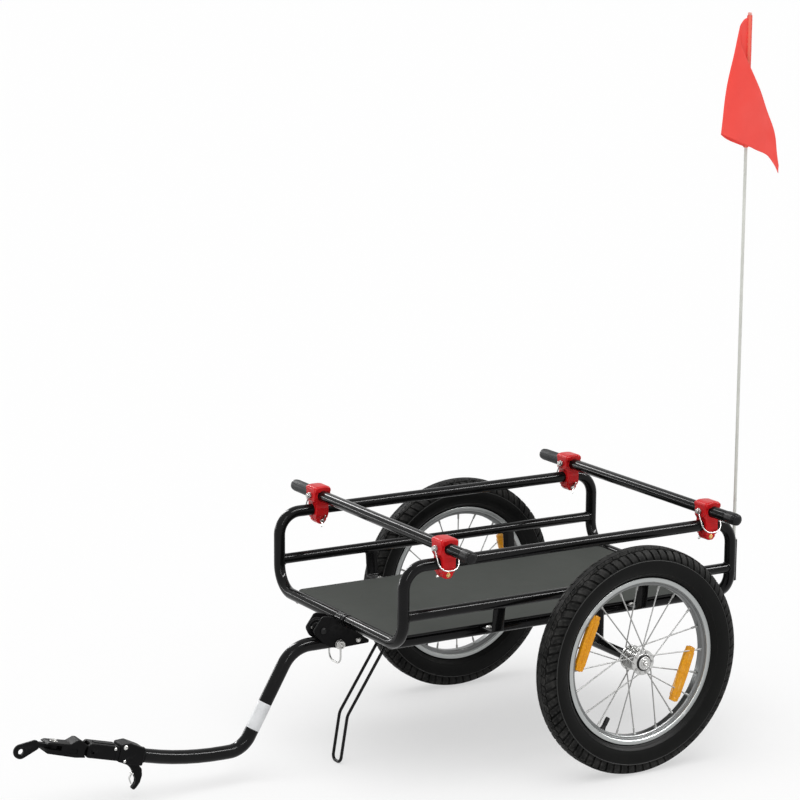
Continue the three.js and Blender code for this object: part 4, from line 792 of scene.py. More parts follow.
def tyre_part():
    """Tread, walls and bead seats in one closed mesh, with one ring of points for each phase of each pitch."""
    half = [0, 4, 7, 8, 10, 11, 14, 18, 22, 26, 29, 30, 34, 35, 40, 45, 50, 55, 60, 65, 70, 72, 76, 79, 80.5, 81, 82.5,
            84, 86, 92, 100, 108, 115, 121, 124, 126, 128, 131, 135, 139, 142]
    phases = [0, 0.03, 0.12, 0.15, 0.25, 0.27, 0.32, 0.34, 0.5, 0.53, 0.62, 0.65, 0.75, 0.77, 0.82, 0.84]
    bead_seat = [(12.6, 162), (11.7, 160.6), (11.7, 152.6), (-11.7, 152.6), (-11.7, 160.6), (-12.6, 162)]

    def squared(value):
        return math.copysign(abs(value) ** 0.8, value)

    verts = []
    for place, phase in ((p + phase, phase) for p in range(TREAD_PITCHES) for phase in phases):
        ring = []
        for a in [-a for a in half[:0:-1]] + half:
            t = rad(a + zigzag(a, phase))
            normal = unit([math.sin(t) * TYRE_HEIGHT, math.cos(t) * TYRE_HALF])
            cut = tread_depth(a, phase)
            r = TYRE_MID + TYRE_HEIGHT * squared(math.cos(t)) - cut * normal[1]
            ring.append((TYRE_HALF * squared(math.sin(t)) - cut * normal[0], min(r, TYRE_TOP), tread_skew(abs(a))))
        ring += [(x, r, tread_skew(80)) for x, r in bead_seat]
        for x, r, skew in ring:
            theta = 2 * math.pi * (place + skew) / TREAD_PITCHES
            verts.append((x, r * math.cos(theta), r * math.sin(theta)))
    faces = ring_faces(TREAD_PITCHES * len(phases), len(ring), True)
    return np.array(verts), [tuple(reversed(f)) for f in faces]


def spoke_angles():
    """Flange, lean, and the angles at the hub and the rim of each spoke."""
    for flange in (1, -1):
        for k in range(SPOKES):
            start = 360 / SPOKES * (k + (0 if flange > 0 else 0.5))
            lean = -1 if k % 2 else 1
            yield flange, lean, rad(start), rad(start + lean * SPOKE_TURN)


FLANGE_X, HOLE_RADIUS, NIPPLE_RADIUS, EYELET_RADIUS, SPOKE_OFFSET = 19.0, 20, 146.4, 144.2, 2.4
SPOKE, NIPPLE = 1.25, 2.0  # radii of the wires


def hub_part():
    """Two flanges and a ribbed barrel."""
    core, profile = 13.4, [(-26, 6.4), (-26, 10.8), (-23.5, 12.2), (-20.6, 12.8), (-20.5, 24.0), (-17.6, 24.0)]
    profile.append((-17.4, core))
    for k in range(7):
        x, big = -13.5 + 4.5 * k, 21.4 - 0.25 * k
        profile += [(x - 0.75, core), (x - 0.75, big), (x + 0.75, big), (x + 0.75, core)]
    profile += [(17.4, core), (17.6, 24.0), (20.5, 24.0), (20.7, 17.4), (21.9, 16.6), (21.9, 6.4)]
    return lathe(profile, 72, True, 0.3)


def spoke_parts():
    """Every spoke with its elbow, head and nipple."""
    wires = []
    for flange, lean, start, end in spoke_angles():
        inner = np.array([flange * FLANGE_X, HOLE_RADIUS * math.cos(start), HOLE_RADIUS * math.sin(start)])
        outer = np.array([flange * SPOKE_OFFSET, NIPPLE_RADIUS * math.cos(end), NIPPLE_RADIUS * math.sin(end)])
        out = np.array([-flange * lean * SPOKE_OFFSET, 0, 0])
        bent, head = inner + out, inner - out * 0.9
        way = unit(outer - bent)
        path = [head, inner + out * 0.35, *(bent + way * s for s in (1.4, 6, 60, 100)), outer]
        wires.append(sweep(path, SPOKE, 14, edge=0.3))
        wires.append(moved(lathe([(-0.8, 0), (-0.7, 1.6), (0, 2.3), (0.7, 2.3), (0.9, 0)], 16), head))
        nipple = [outer - way * back for back in (13.0, 12.2, 4.4, 3.9, 0)]
        wires.append(sweep(nipple, NIPPLE, 14, edge=0.3, swell=[0.75, 1, 1, 1.15, 1.15]))
    return wires


def eyelet_parts():
    """A collar at each nipple's hole."""
    eyelet = lathe([(0, 1.9), (0, 3.3), (0.9, 2.9), (1.1, 1.9)], 16, True, 0.2)
    made = []
    for flange, _, _, end in spoke_angles():
        c, s = math.cos(end), math.sin(end)
        spot = (flange * SPOKE_OFFSET, EYELET_RADIUS * c, EYELET_RADIUS * s)
        made.append(moved(eyelet, spot, (0, -c, -s), (1, 0, 0), (0, -s, c)))
    return made


def reflector(start, end):
    """A spoke reflector between two points (lengthwise, height) of the wheel's plane."""
    a, b = np.array(start, float), np.array(end, float)
    way = unit(b - a)
    out = np.array([-way[1], way[0]])
    if out @ (a + b) < 0:
        out = -out
    half, width, side_x = np.linalg.norm(b - a) / 2, 10.3, 3.5
    outline = [(-half, -width * 0.84), (-half + 9, -width * 0.86), (-half + 10, -width), (half - 10, -width),
               (half - 9, -width * 0.86), (half, -width * 0.84), (half, width * 0.76), (half - 9, width * 0.82),
               (half - 10, width * 0.96), (0, width * 1.08), (-half + 10, width * 0.96), (-half + 9, width * 0.82),
               (-half, width * 0.76)]
    parts = [slab(rounded(outline, 2.2, 4), 9.0, 1.6, 4)]
    parts += [slab(arc((s * half - s * 3, 0), 4.2, 0, 360, 20)[:-1], 11, 1.2, 3) for s in (-1, 1)]
    parts.append(slab(rounded(rect(14 - half, -2.0, half - 14, 2.0), 1.8, 4), 11.4, 1.3, 3))
    mid = (a + b) / 2
    return [moved(p, (side_x, -mid[0], mid[1]), (0, -way[0], way[1]), (0, -out[0], out[1]), (1, 0, 0)) for p in parts]


def valve_part():
    """The valve's stem and cap, which point from the rim to the hub."""
    way = unit([0, -72, -118])
    base = way * 144.5
    stem = [base - way * back for back in (-2, 0, 3, 9, 10, 22, 25)]
    return sweep(stem, 3.6, 24, edge=1.2, swell=[1.8, 1.8, 1.4, 1.15, 1.3, 1.25, 1.1])


rim = lathe([(-14.0, 160), (-11.9, 160), (-11.9, 152.2), (-8, 152.0), (8, 152.0), (11.9, 152.2), (11.9, 160),
             (14.0, 160), (14.0, 152.7), (12.9, 151.5), (11.4, 151.0), (-11.4, 151.0), (-12.9, 151.5),
             (-14.0, 152.7)], 144, True, 0.7)
channel = lathe([(-11.2, 151.2), (11.2, 151.2), (11.0, 149.4), (8.8, 148.4), (8.2, 145.6), (6.4, 144.0),
                 (-6.4, 144.0), (-8.2, 145.6), (-8.8, 148.4), (-11.0, 149.4)], 144, True, 0.6)
seal = lathe([(21.8, 13.3), (21.8, 15.6), (23.4, 15.4), (24.0, 14.8), (24.0, 13.3)], 56, True, 0.2)
LENSES = {"left": (((97, 99.5), (135, 0)), ((-121.5, 9), (-83, -91))),
          "right": (((-106, 88), (-136, -14)), ((106, -88), (136, 14)))}
tyre, hub, spokes, rim_parts, valve = tyre_part(), hub_part(), spoke_parts(), [rim, *eyelet_parts()], valve_part()
for name, side in SIDES:
    lenses = [p for ends in LENSES[name] for p in reflector(*ends)]
    centre = (side * WHEEL_X, 0, AXLE)
    for label, parts, material, node_name, sharp in (
            ("tread", [tyre], tyre_rubber, "tyre", 28), ("rim_ring", rim_parts, rim_alloy, "rim", 40),
            ("rim_channel", [channel], channel_alloy, None, 40), ("hub_shell", [hub], hub_steel, "hub", 35),
            ("spokes", spokes, spoke_steel, None, 35), ("hub_seal", [seal], black_plastic, None, 32),
            ("reflectors", lenses, amber, None, 32), ("valve", [valve], black_plastic, None, 32)):
        piece(f"{label}_{name}", parts, material, f"wheel_{name}", node_name and f"{node_name}_{name}", side=side,
              at=centre, pivot=centre, sharp=sharp)

# Axles
DROP_X, DROP, STUB, BORE, AXLE_END = 196.3, 8, 10, 4.9, 345
drop_tube = sweep([(DROP_X, 0, AXLE), (DROP_X, 0, 285.7)], DROP, 36)
stub_tube = sweep([(182, 0, AXLE), (293.7, 0, AXLE)], STUB, 44, edge=1.0)
drop_weld = bead((DROP_X, 0, AXLE + 40), (0, 0, -1), DROP, (0, 0, AXLE), (1, 0, 0), STUB, 1.6)
rail_weld = bead((DROP_X + WELD_FROM, 0, RAIL_Z - 4), (-1, 0, 0), 4, (RAIL_X, 0, RAIL_Z), (0, 1, 0), RAIL, 1.6, 4)
cap = lathe([(230, 0), (230, 5.9), (342.2, 5.9), (342.2, 12.9), (343.2, 13.0), (345.4, 13.0), (346.6, 12.0),
             (346.6, 10.4), (346.0, 10.1), (346.0, 8.9), (347.0, 8.5), (347.3, 6.6), (347.3, BORE), (343.9, 4.8),
             (343.9, 0)], 56, edge=0.25)
star = carved(across(hexagon(8.7, 2.4, 0.4), 346.6), cuts=[rod((340, 0, 0), (352, 0, 0), BORE, 40, 0)])
button = lathe([(343.8, 0), (343.8, 4.4), (350.0, 4.4), (350.8, 3.6), (350.8, 1.7), (350.3, 1.2), (350.3, 0)], 40,
               edge=0.25)
for name, side in SIDES:
    piece(f"axle_stub_{name}", [drop_tube, stub_tube, drop_weld, rail_weld], black_paint, "frame",
          f"axle_bracket_{name}", side=side)
    at_axle = {"side": side, "at": (0, 0, AXLE), "pivot": (side * AXLE_END, 0, AXLE)}
    piece(f"axle_cap_{name}", [cap, star], hub_steel, "frame", f"axle_pin_{name}", "bright_steel", **at_axle)
    piece(f"button_{name}", [button], zinc_steel, f"axle_button_{name}", f"axle_button_{name}", **at_axle)

# ---------------------------------------------------------------- drawbar
HEEL, KNEE, BAR_HEIGHT, BAR = -412.0, -557, 240, 13
PIVOT, LOCK, BOLT = (-425.01, 240.0), (-465.956, 237.0), (-499.94, 267.28)
SLOPE, TIP = rad(60), rad(15)
SLOPE_LENGTH, LOW_LENGTH, TIP_LENGTH = 210, 119, 118
low_start = (KNEE - SLOPE_LENGTH * math.cos(SLOPE), BAR_HEIGHT - SLOPE_LENGTH * math.sin(SLOPE))
low_end = (low_start[0] - LOW_LENGTH, low_start[1])
tip = (low_end[0] - TIP_LENGTH * math.cos(TIP), low_end[1] + TIP_LENGTH * math.sin(TIP))
bar_path = route([(0, HEEL, BAR_HEIGHT), (0, KNEE, BAR_HEIGHT), (0, *low_start), (0, *low_end), (0, *tip)],
                 [64, 48, 0.66 * LOW_LENGTH / math.tan(TIP / 2)], 2.5)


def side_slab(outline, depth, edge=0.8, steps=3, x=0.0):
    """A slab seen from the side: its outline is (lengthwise, height)."""
    return across(slab(outline, depth, edge, steps), x)


def side_rod(u, v, reach, radius, edge=0.5, sides=32):
    """A rod that lies across, to reach on both sides."""
    return rod((-reach, u, v), (reach, u, v), radius, sides, edge)


def washer(outer, inner, thick):
    return lathe([(-thick / 2, inner), (-thick / 2, outer), (thick / 2, outer), (thick / 2, inner)], 40, True,
                 thick * 0.3)


SLOT_HALF, SLOT_TURN = 5.6, 28
slot_reach = math.hypot(LOCK[0] - PIVOT[0], LOCK[1] - PIVOT[1])
slot_start = math.degrees(math.atan2(LOCK[1] - PIVOT[1], LOCK[0] - PIVOT[0])) + 360
slot_shape = arc(PIVOT, slot_reach + SLOT_HALF, slot_start, slot_start - SLOT_TURN)
slot_shape += arc(PIVOT, slot_reach - SLOT_HALF, slot_start - SLOT_TURN, slot_start)
THROUGH = 30  # half the length of a cut across a tube or casting
bar = carved(sweep(bar_path, BAR, 48, edge=1.2), cuts=[
    side_rod(*PIVOT, THROUGH, 5.4, 0), side_slab(slot_shape, 2 * THROUGH, 0), side_rod(*LOCK, THROUGH, 5.7, 0)])
piece("drawbar_tube", [bar], black_paint, "drawbar", "drawbar", sharp=35)

# A blank band round the drawbar's slope
knee, slope_end = np.array([0, KNEE, BAR_HEIGHT]), np.array([0, *low_start])
BAND_FROM, BAND_TO, BAND_LIFT = 0.545, 0.80, 0.25  # shares of the slope; how far it stands out
band = [knee + (slope_end - knee) * t for t in np.linspace(BAND_FROM, BAND_TO, 6)]
piece("drawbar_band", [sweep(band, BAR + BAND_LIFT, 48, edge=0.2)], label_white, "drawbar")

plate_shares = [(0, 0.03), (0.56, 0), (0.76, 0.1), (0.98, 0.5), (1, 0.62), (0.84, 1), (0.66, 0.94), (0, 0.12)]
plate_shape = rounded([(-402 - a * 118, 229 + b * 66) for a, b in plate_shares], [3, 60, 40, 14, 14, 8, 12, 3], 8)
tube_hole = rod((0, FRONT, CROSS), (40, FRONT, CROSS), TUBE + 0.3, 44, 0)
parts = [carved(side_slab(plate_shape, 4.0, 0.7, 3, 15.3), cuts=[tube_hole])]
for x in (13.2, 17.6):
    weld = [(x, FRONT + 11.6 * math.cos(rad(a)), CROSS + 11.6 * math.sin(rad(a))) for a in range(172, 378, 8)]
    parts.append(sweep([p for p in weld if p[2] < CROSS + 10], 1.3, 10, edge=0.4))
for name, side in SIDES:
    piece(f"bracket_plate_{name}", parts, black_casting, "frame", f"drawbar_bracket_{name}", "black_paint", side,
          weighted=True)

dome = lathe([(17.2, 0), (17.2, 5.2), (18.2, 5.2), (18.4, 4.6), (20.0, 4.2), (21.2, 2.8), (21.6, 0)], 36, edge=0.3)
piece("pivot_fixing", [rod((-17.0, 0, 0), (17.0, 0, 0), 4.9, 32), dome, mirrored(dome)], zinc_steel, "frame",
      "pivot_bolt", at=(0, *PIVOT))

# The round knob on the bracket's far side, with a screw in its middle
knob = mirrored(lathe([(17.6, 0), (17.6, 7.4), (19.2, 7.2), (21.0, 5.2), (21.5, 0)], 44, edge=0.3))
disc = lathe([(-13.1, 0), (-13.1, 18.6), (-12.4, 19.4), (-11.6, 19.0), (-11.2, 17.4), (-11.2, 15.8), (-10.2, 15.2),
              (-10.2, 14.0), (-11.2, 13.4), (-11.2, 9.6), (-10.0, 8.8), (-9.4, 6.0), (-9.4, 0)], 64, edge=0.25)
knob_rear = lathe([(17.6, 0), (17.6, 6.2), (19.4, 6.0), (21.0, 4.4), (21.5, 0)], 36, edge=0.3)
piece("bracket_knob", [knob, disc, knob_rear, rod((-17.6, 0, 0), (17.6, 0, 0), 3.9, 24)], black_plastic, "frame",
      "bracket_bolt", "black_casting", at=(0, *BOLT))
rivet = lathe([(-9.6, 0), (-9.6, 2.7), (-8.2, 2.2), (-7.6, 0)], 24)
piece("knob_screw", [rivet], zinc_steel, "frame", at=(0, BOLT[0] - 9.5, BOLT[1] + 1.5))

lock_head = lathe([(24, 0), (24, 7.6), (25.6, 8.0), (27.0, 7.4), (27.0, 5.4), (24.8, 5.0), (24.8, 3.2), (26.4, 2.9),
                   (26.9, 1.6), (27.0, 0)], 48, edge=0.25)
piece("lock_pin_steel", [rod((-24.0, 0, 0), (24.0, 0, 0), 4.9, 32, 1.2), lock_head,
                         moved(washer(9.2, 5.0, 1.2), (18.4, 0, 0)), moved(washer(9.0, 5.0, 1.2), (-18.4, 0, 0))],
      zinc_steel, "frame", "lock_pin", at=(0, *LOCK))


def bail_parts(pin, spacing, reach, bend, wire):
    """A wire bail below a pin along Y, its ends coiled round the pin."""
    half, eye = spacing / 2, pin / 2 + 0.3 + wire / 2
    path = route([(0, -half, -eye), (0, -half, -reach), (0, half, -reach), (0, half, -eye)], [bend, bend], 5)
    parts = [sweep(path, wire / 2, 16, edge=0.3)]
    for s in (-1, 1):
        coil = [(eye * math.sin(rad(a)), s * half + 0.15 * math.sin(rad(a / 2)), -eye * math.cos(rad(a)))
                for a in range(0, 352, 12)]
        parts.append(sweep(coil, wire / 2, 16, edge=0.4))
    return parts


lock_bail = [moved(p, (0, *LOCK), (0, 1, 0), (-1, 0, 0), (0, 0, 1)) for p in bail_parts(10, 44.4, 38, 15, 3.5)]
piece("lock_bail_wire", lock_bail, wire_steel, "lock_bail", "lock_bail")

# ---------------------------------------------------------------- kickstand
STAND_Y, STAND_Z, WIRE = BEAMS[0][1], 254.0, 3
half_stand = [(4, 0, 0), (15, 0, 0), (15, -105, -161), (15, -120, WIRE - STAND_Z)]
stand_path = half_stand + [(-x, y, z) for x, y, z in reversed(half_stand)]
stand = sweep(route(stand_path, [3.4, 30, 11, 11, 30, 3.4], 5), WIRE, 24, edge=0.4)
piece("stand_wire", [stand], black_paint, "kickstand", "kickstand", at=(0, STAND_Y, STAND_Z))
beam_hole = side_rod(0, BEAM_Z, 40, BEAM + 0.2, 0, 40)
wire_hole = side_rod(0, STAND_Z, 40, WIRE + 0.3, 0, 24)
block = carved(side_slab(rounded(rect(-8, 246, 8, 272), 3, 5), 22, 1.0, 3), cuts=[beam_hole, wire_hole])
seams = [sweep([(-9, y, 271.6), (9, y, 271.6)], 1.4, 10, edge=0.5) for y in (-7.0, 7.0)]
piece("stand_block", [block, *seams], black_casting, "frame", "kickstand_block", "black_paint", at=(0, STAND_Y, 0),
      weighted=True)

# ---------------------------------------------------------------- coupler
# Its shapes are drawn as (across, advance, rise) from an origin on the drawbar's tip.
TO_ORIGIN = 92
ORIGIN = np.array([0, low_end[0] - TO_ORIGIN * math.cos(TIP), low_end[1] + TO_ORIGIN * math.sin(TIP)])
FORWARD, UP = np.array([0, -math.cos(TIP), math.sin(TIP)]), np.array([0, math.sin(TIP), math.cos(TIP)])
LEVER_AT, PITCH_AT, YAW_U = (38, -11), (104.3, -1), 177


def coupler_piece(name, parts, material, body, node_name=None, slot=None, weighted=False):
    """A piece drawn in the coupler's own axes."""
    placed = []
    for verts, faces in parts:
        v = np.asarray(verts, float)
        place = ORIGIN + np.outer(v[:, 0], [1, 0, 0]) + np.outer(v[:, 1], FORWARD) + np.outer(v[:, 2], UP)
        placed.append((place, [tuple(reversed(f)) for f in faces]))
    piece(name, placed, material, body, node_name, slot, weighted=weighted)


def cut_box(u0, v0, u1, v1, depth):
    return side_slab(rect(u0, v0, u1, v1), depth, 0)


def bore(start, end, radius, sides=24):
    """A cut along the coupler's length."""
    return rod((0, start, 0), (0, end, 0), radius, sides, 0)


def yaw_rod(low, high, radius, edge=0.5):
    return rod((0, YAW_U, low), (0, YAW_U, high), radius, 24, edge)


sleeve_shares = [(0, -0.67), (0, 0.66), (0.12, 0.74), (0.66, 0.98), (1, 0.76), (1, -0.56), (0.6, -0.68)]
sleeve_shape = rounded([(a * 50, b * 24) for a, b in sleeve_shares], [3, 3, 4, 5, 3, 3, 4], 4)
sleeve = carved(side_slab(sleeve_shape, 36, 2.2, 4),
                cuts=[bore(-8, 26.3, 13.3, 44), bore(30, 58, 4.3), cut_box(23.9, -26, 58, -5.6, 10.6),
                      side_rod(*LEVER_AT, THROUGH, 2.8, 0)])
collar = along_y(lathe([(0, 13.4), (0, 15.4), (7, 15.4), (7, 13.4)], 44, True, 0.8), 0, -5)
coupler_piece("sleeve_casting", [sleeve, collar], black_casting, "drawbar", "coupler_sleeve", weighted=True)
coupler_piece("swivel_shaft", [rod((0, 30.3, 0), (0, 74.3, 0), 4, 28), rod((0, 66, 0), (0, 74.4, 0), 6.2, 6, 0.6)],
              zinc_steel, "drawbar", "swivel_bolt")
pin_head = lathe([(18.2, 0), (18.2, 2.9), (19.2, 2.8), (19.8, 1.8), (19.8, 0)], 28, edge=0.2)
sleeve_screw = lathe([(17.6, 0), (17.6, 4.6), (19.0, 4.232), (20.0, 2.76), (20.0, 1.38), (19.0, 1.012), (19.0, 0)],
                     28, edge=0.15)
coupler_piece("sleeve_screws", [side_rod(*LEVER_AT, 19, 2.5, 0.6), moved(pin_head, (0, *LEVER_AT)),
                                moved(sleeve_screw, (0, 41.5, 14.6))], zinc_steel, "drawbar", "lever_pin")

lever_shares = [(-0.07, 0.05), (-0.03, 0.08), (0.03, 0.08), (0.07, 0.05), (0.083, 0), (0.083, -0.03), (0.03, -0.09),
                (-0.12, -0.125), (-0.27, -0.16), (-0.4, -0.24), (-0.5, -0.35), (-0.57, -0.47), (-0.63, -0.55),
                (-0.65, -0.65), (-0.62, -0.75), (-0.56, -0.84), (-0.65, -0.91), (-0.73, -0.8), (-0.8, -0.65),
                (-0.82, -0.42), (-0.76, -0.22), (-0.63, -0.11), (-0.3, -0.105), (-0.12, -0.07), (-0.085, 0)]
LEVER = 60
lever_shape = rounded([(LEVER_AT[0] + a * LEVER, LEVER_AT[1] + b * LEVER) for a, b in lever_shares], 3.5, 4)
gate_at = (LEVER_AT[0] - 0.49 * LEVER, LEVER_AT[1] - 0.4 * LEVER)
lever = carved(side_slab(lever_shape, 10, 1.3, 3),
               cuts=[side_rod(*LEVER_AT, 20, 2.8, 0), side_rod(*gate_at, 20, 2.2, 0)])
coupler_piece("hook_lever", [lever], black_casting, "release_lever", "release_lever", weighted=True)
gate_path = route([(0, gate_at[0] + ahead, gate_at[1] - drop) for ahead, drop in ((0, 0), (3, 10), (-3.2, 19.6))],
                  [5], 6)
gate = [side_rod(*gate_at, 5, 2, 0.4), sweep(gate_path, 1.0, 16, edge=0.3)]
gate += [moved(sweep(gate_path, 0.8, 12, edge=0.3), (s * 1.7, 0, 0)) for s in (-1, 1)]
coupler_piece("gate_wire", gate, wire_steel, "hook_gate", "hook_gate")

yoke_shape = rounded([(50.3, -12), (50.3, 15), (108.3, 15), (114.3, 9), (114.3, -12)], [2, 4, 5, 4, 4], 4)
yoke = carved(side_slab(yoke_shape, 34, 1.8, 4),
              cuts=[bore(30, 74.6, 4.4), cut_box(78.3, -20, 122, 11, 18.6), cut_box(108.3, 0, 122, 22, 18.6),
                    side_rod(*PITCH_AT, THROUGH, 3.3, 0)])
cheeks = carved(yoke, adds=[side_slab(rounded(rect(55, -11, 58, 13.6), 1, 3), 35.6, 0.7, 2)])
top_pad = moved(slab(rounded(rect(-7, 58, 7, 100), 3, 4), 1.8, 0.6, 2), (0, 0, 15.4))
coupler_piece("yoke_casting", [cheeks, top_pad], black_casting, "coupler_yoke", "coupler_yoke", weighted=True)
pitch_head = moved(lathe([(17.4, 0), (17.4, 3.4), (18.4, 3.2), (20.0, 2.2), (20.0, 0)], 32, edge=0.2), (0, *PITCH_AT))
coupler_piece("pitch_pin_steel", [side_rod(*PITCH_AT, 20, 3, 0.6), pitch_head, mirrored(pitch_head)], black_casting,
              "coupler_yoke", "pitch_pin", "bright_steel")
screw = lathe([(17.4, 0), (17.4, 3.2), (18.8, 3.0), (19.6, 2.0), (19.6, 0)], 28, edge=0.15)
coupler_piece("yoke_screw", [moved(screw, (0, 61, 10))], zinc_steel, "coupler_yoke")

head_shares = [(0, 0.68), (0.04, 0.8), (0.11, 0.93), (0.19, 0.92), (0.27, 0.7), (0.36, 0.47), (0.92, 0.43),
               (1, 0.26), (1, -0.5), (0.92, -0.63), (0.18, -0.72)]
head_shape = rounded([(114.8, -12.6), (114.8, 9.4)] + [(122 + a * 74, b * 20) for a, b in head_shares], 3, 4)
head_block = carved(side_slab(head_shape, 32, 2.0, 4), cuts=[side_rod(*PITCH_AT, THROUGH, 15.8, 0)])
tongue_shape = arc(PITCH_AT, 9, 90, 270, 18) + [(131, -10), (131, 8)]
windows = [side_slab(rounded(rect(133, -8, 156, 2), 3, 4), 3.0, 0.2, 1, x) for x in (16.0, -16.0)]
head_part = carved(head_block, adds=[side_slab(tongue_shape, 18, 0.6, 2)],
                   cuts=[side_rod(*PITCH_AT, THROUGH, 3.3, 0), cut_box(165.4, -4.3, 206, 4.3, 2 * THROUGH),
                         yaw_rod(-24, 24, 3.3, 0), *windows])
head_extra = side_slab(rounded([(124, 7), (128, 16), (136, 17.4), (142, 12), (146, 7)], 2.4, 4), 22, 1.6, 3)
coupler_piece("head_casting", [head_part, head_extra], black_casting, "coupler_head", "coupler_head", weighted=True)
yaw_washer = upright(lathe([(8.6, 0), (8.6, 7.4), (9.3, 7.4), (9.3, 0)], 32, edge=0.2), 0, YAW_U)
coupler_piece("yaw_screw", [yaw_rod(-11, 9.2, 3), moved(hexagon(5.6, 3.0, 0.5), (0, YAW_U, 10.5)), yaw_washer],
              zinc_steel, "coupler_head", "yaw_pin")

eye, mid = (236, -17), (212, -3)
heading = math.degrees(math.atan2(eye[1] - mid[1], eye[0] - mid[0]))
flare = 90 + math.degrees(math.asin(4 / math.hypot(eye[0] - mid[0], eye[1] - mid[1])))
eye_shape = arc(eye, 13.5, heading - flare, heading + flare, 30)
eye_shape += arc(mid, 9.5, heading + flare, heading + 360 - flare, 16)
eye_plate = carved(side_slab(eye_shape, 5, 0.9, 3), cuts=[side_rod(*eye, 12, 5.3, 0)])
tongue = carved(upright(lathe([(-4, 0), (-4, 11), (4, 11), (4, 0)], 44, edge=0.8), 0, YAW_U),
                cuts=[yaw_rod(-20, 20, 3.3, 0)])
neck = slab(rounded([(-6, 182), (6, 182), (6, 202), (2.5, 211), (-2.5, 211), (-6, 202)], 1.5, 4), 8, 1.4, 3)
boss = lathe([(-3.1, 5.3), (-3.1, 9.0), (-2.5, 9.6), (2.5, 9.6), (3.1, 9.0), (3.1, 5.3)], 40, True, 0.3)
coupler_piece("eye_plate", [eye_plate, tongue, neck, moved(boss, (0, *eye))], black_casting, "hitch_plate",
              "hitch_plate", weighted=True)

# ---------------------------------------------------------------- crossbars and clamps
BAR_Z, BAR_HALF, CAP_LENGTHS = 461.5, 331, {"left": 303, "right": 262}
BARS = (("front", -371.0), ("rear", 216.0))
JAW_Z, PIN, BAIL_LEAN = -49.5, 3, 28
RAIL_DROP = TOP - BAR_Z
WAIST_X, WAIST_Z, WAIST = 38.2, -14.5, 23.5  # the round hollows in the clamp's flanks


def cross_cut(x, z, radius, sides):
    """A round cut through a clamp, lengthwise of the trailer."""
    return rod((x, -THROUGH, z), (x, THROUGH, z), radius, sides, 0)


def clamp_part():
    """From the crossbar's middle: crown, visor over the sides, tapered body and split jaw."""
    crown = rounded([(18, 17.4), (7, 19), (-7, 19), (-18, 17.4), (-18, -10), (-14, -16), (-14, -39.5), (14, -39.5),
                     (14, -16), (18, -10)], [6.5, 20, 20, 6.5, 3, 4, 2.4, 2.4, 4, 3], 7)
    visor = rounded([(16.6, 7.5), (17.2, 15.6), (6, 18.2), (-6, 18.2), (-17.2, 15.6), (-16.6, 7.5)],
                    [1.9, 4.5, 16, 16, 4.5, 1.9], 6)
    taper = rounded([(-16.9, -38), (-12.4, -46.2), (12.4, -46.2), (16.9, -38), (16.9, -13), (-16.9, -13)], 2, 4)
    jaw = rounded([(11, -34.1), (-11, -34.1), (-11, -50.5), (-5, -56.5), (5, -56.5), (11, -50.5)],
                  [2, 2, 3, 3, 3, 3], 4)
    cuts = [side_rod(0, 0, THROUGH, TUBE + 0.15, 0, 48), cross_cut(0, RAIL_DROP, TUBE + 0.1, 48),
            lengthwise(slab(rect(-1.2, -62, 1.2, -30), 2 * THROUGH, 0)), cross_cut(0, 0, PIN + 0.2, 24)]
    cuts += [cross_cut(s * WAIST_X, WAIST_Z, WAIST, 48) for s in (1, -1)]
    adds = [side_slab(visor, 41, 1.8, 4), lengthwise(slab(taper, 27.1, 1.4, 3)), side_slab(jaw, 25.6, 1.6, 3)]
    return carved(side_slab(crown, 34, 2.2, 5), adds, cuts)


def clamp_lips():
    """A thin lip round each mouth for the crossbar."""
    return [sweep([(s * 17.2, 12.0 * math.cos(rad(a)), 12.0 * math.sin(rad(a))) for a in range(0, 360, 9)], 0.9, 10,
                  closed=True) for s in (1, -1)]


clamp = [clamp_part(), *clamp_lips()]
pin_steel = [rod((0, -24.5, 0), (0, 24.5, 0), PIN, 24, 0.8),
             along_y(lathe([(-26.5, 0), (-26.5, 3.4), (-25.9, 4.4), (-24.6, 4.5), (-24.4, 0)], 28, edge=0.2)),
             *(along_y(washer(5.6, 3.0, 1.0), 0, s * 19.0) for s in (1, -1))]
bolt_head = lathe([(12.7, 0), (12.7, 4.2), (13.4, 4.2), (13.6, 3.4), (14.8, 2.8), (15.4, 1.4), (15.4, 0)], 28,
                  edge=0.15)
bolt = [side_rod(0, JAW_Z, 13.6, 2.6, 0.4), moved(bolt_head, (0, 0, JAW_Z))]
nut = [moved(lathe([(-12.7, 0), (-12.7, 4.6), (-13.8, 4.4), (-18.0, 3.2), (-18.0, 0)], 28, edge=0.2), (0, 0, JAW_Z))]
for s in (1, -1):
    wing = [(-12.6, s * 2.4), (-17.8, s * 2.4), (-22.2, s * 10.4), (-20.0, s * 12.8), (-15.4, s * 10.4)]
    nut.append(moved(slab(rounded(wing, 1.4, 4), 1.8, 0.5, 2), (0, 0, JAW_Z), (1, 0, 0), (0, 0.35, 0.94),
                     (0, -0.94, 0.35)))
bail = bail_parts(2 * PIN, 43, 45, 18, 2.6)

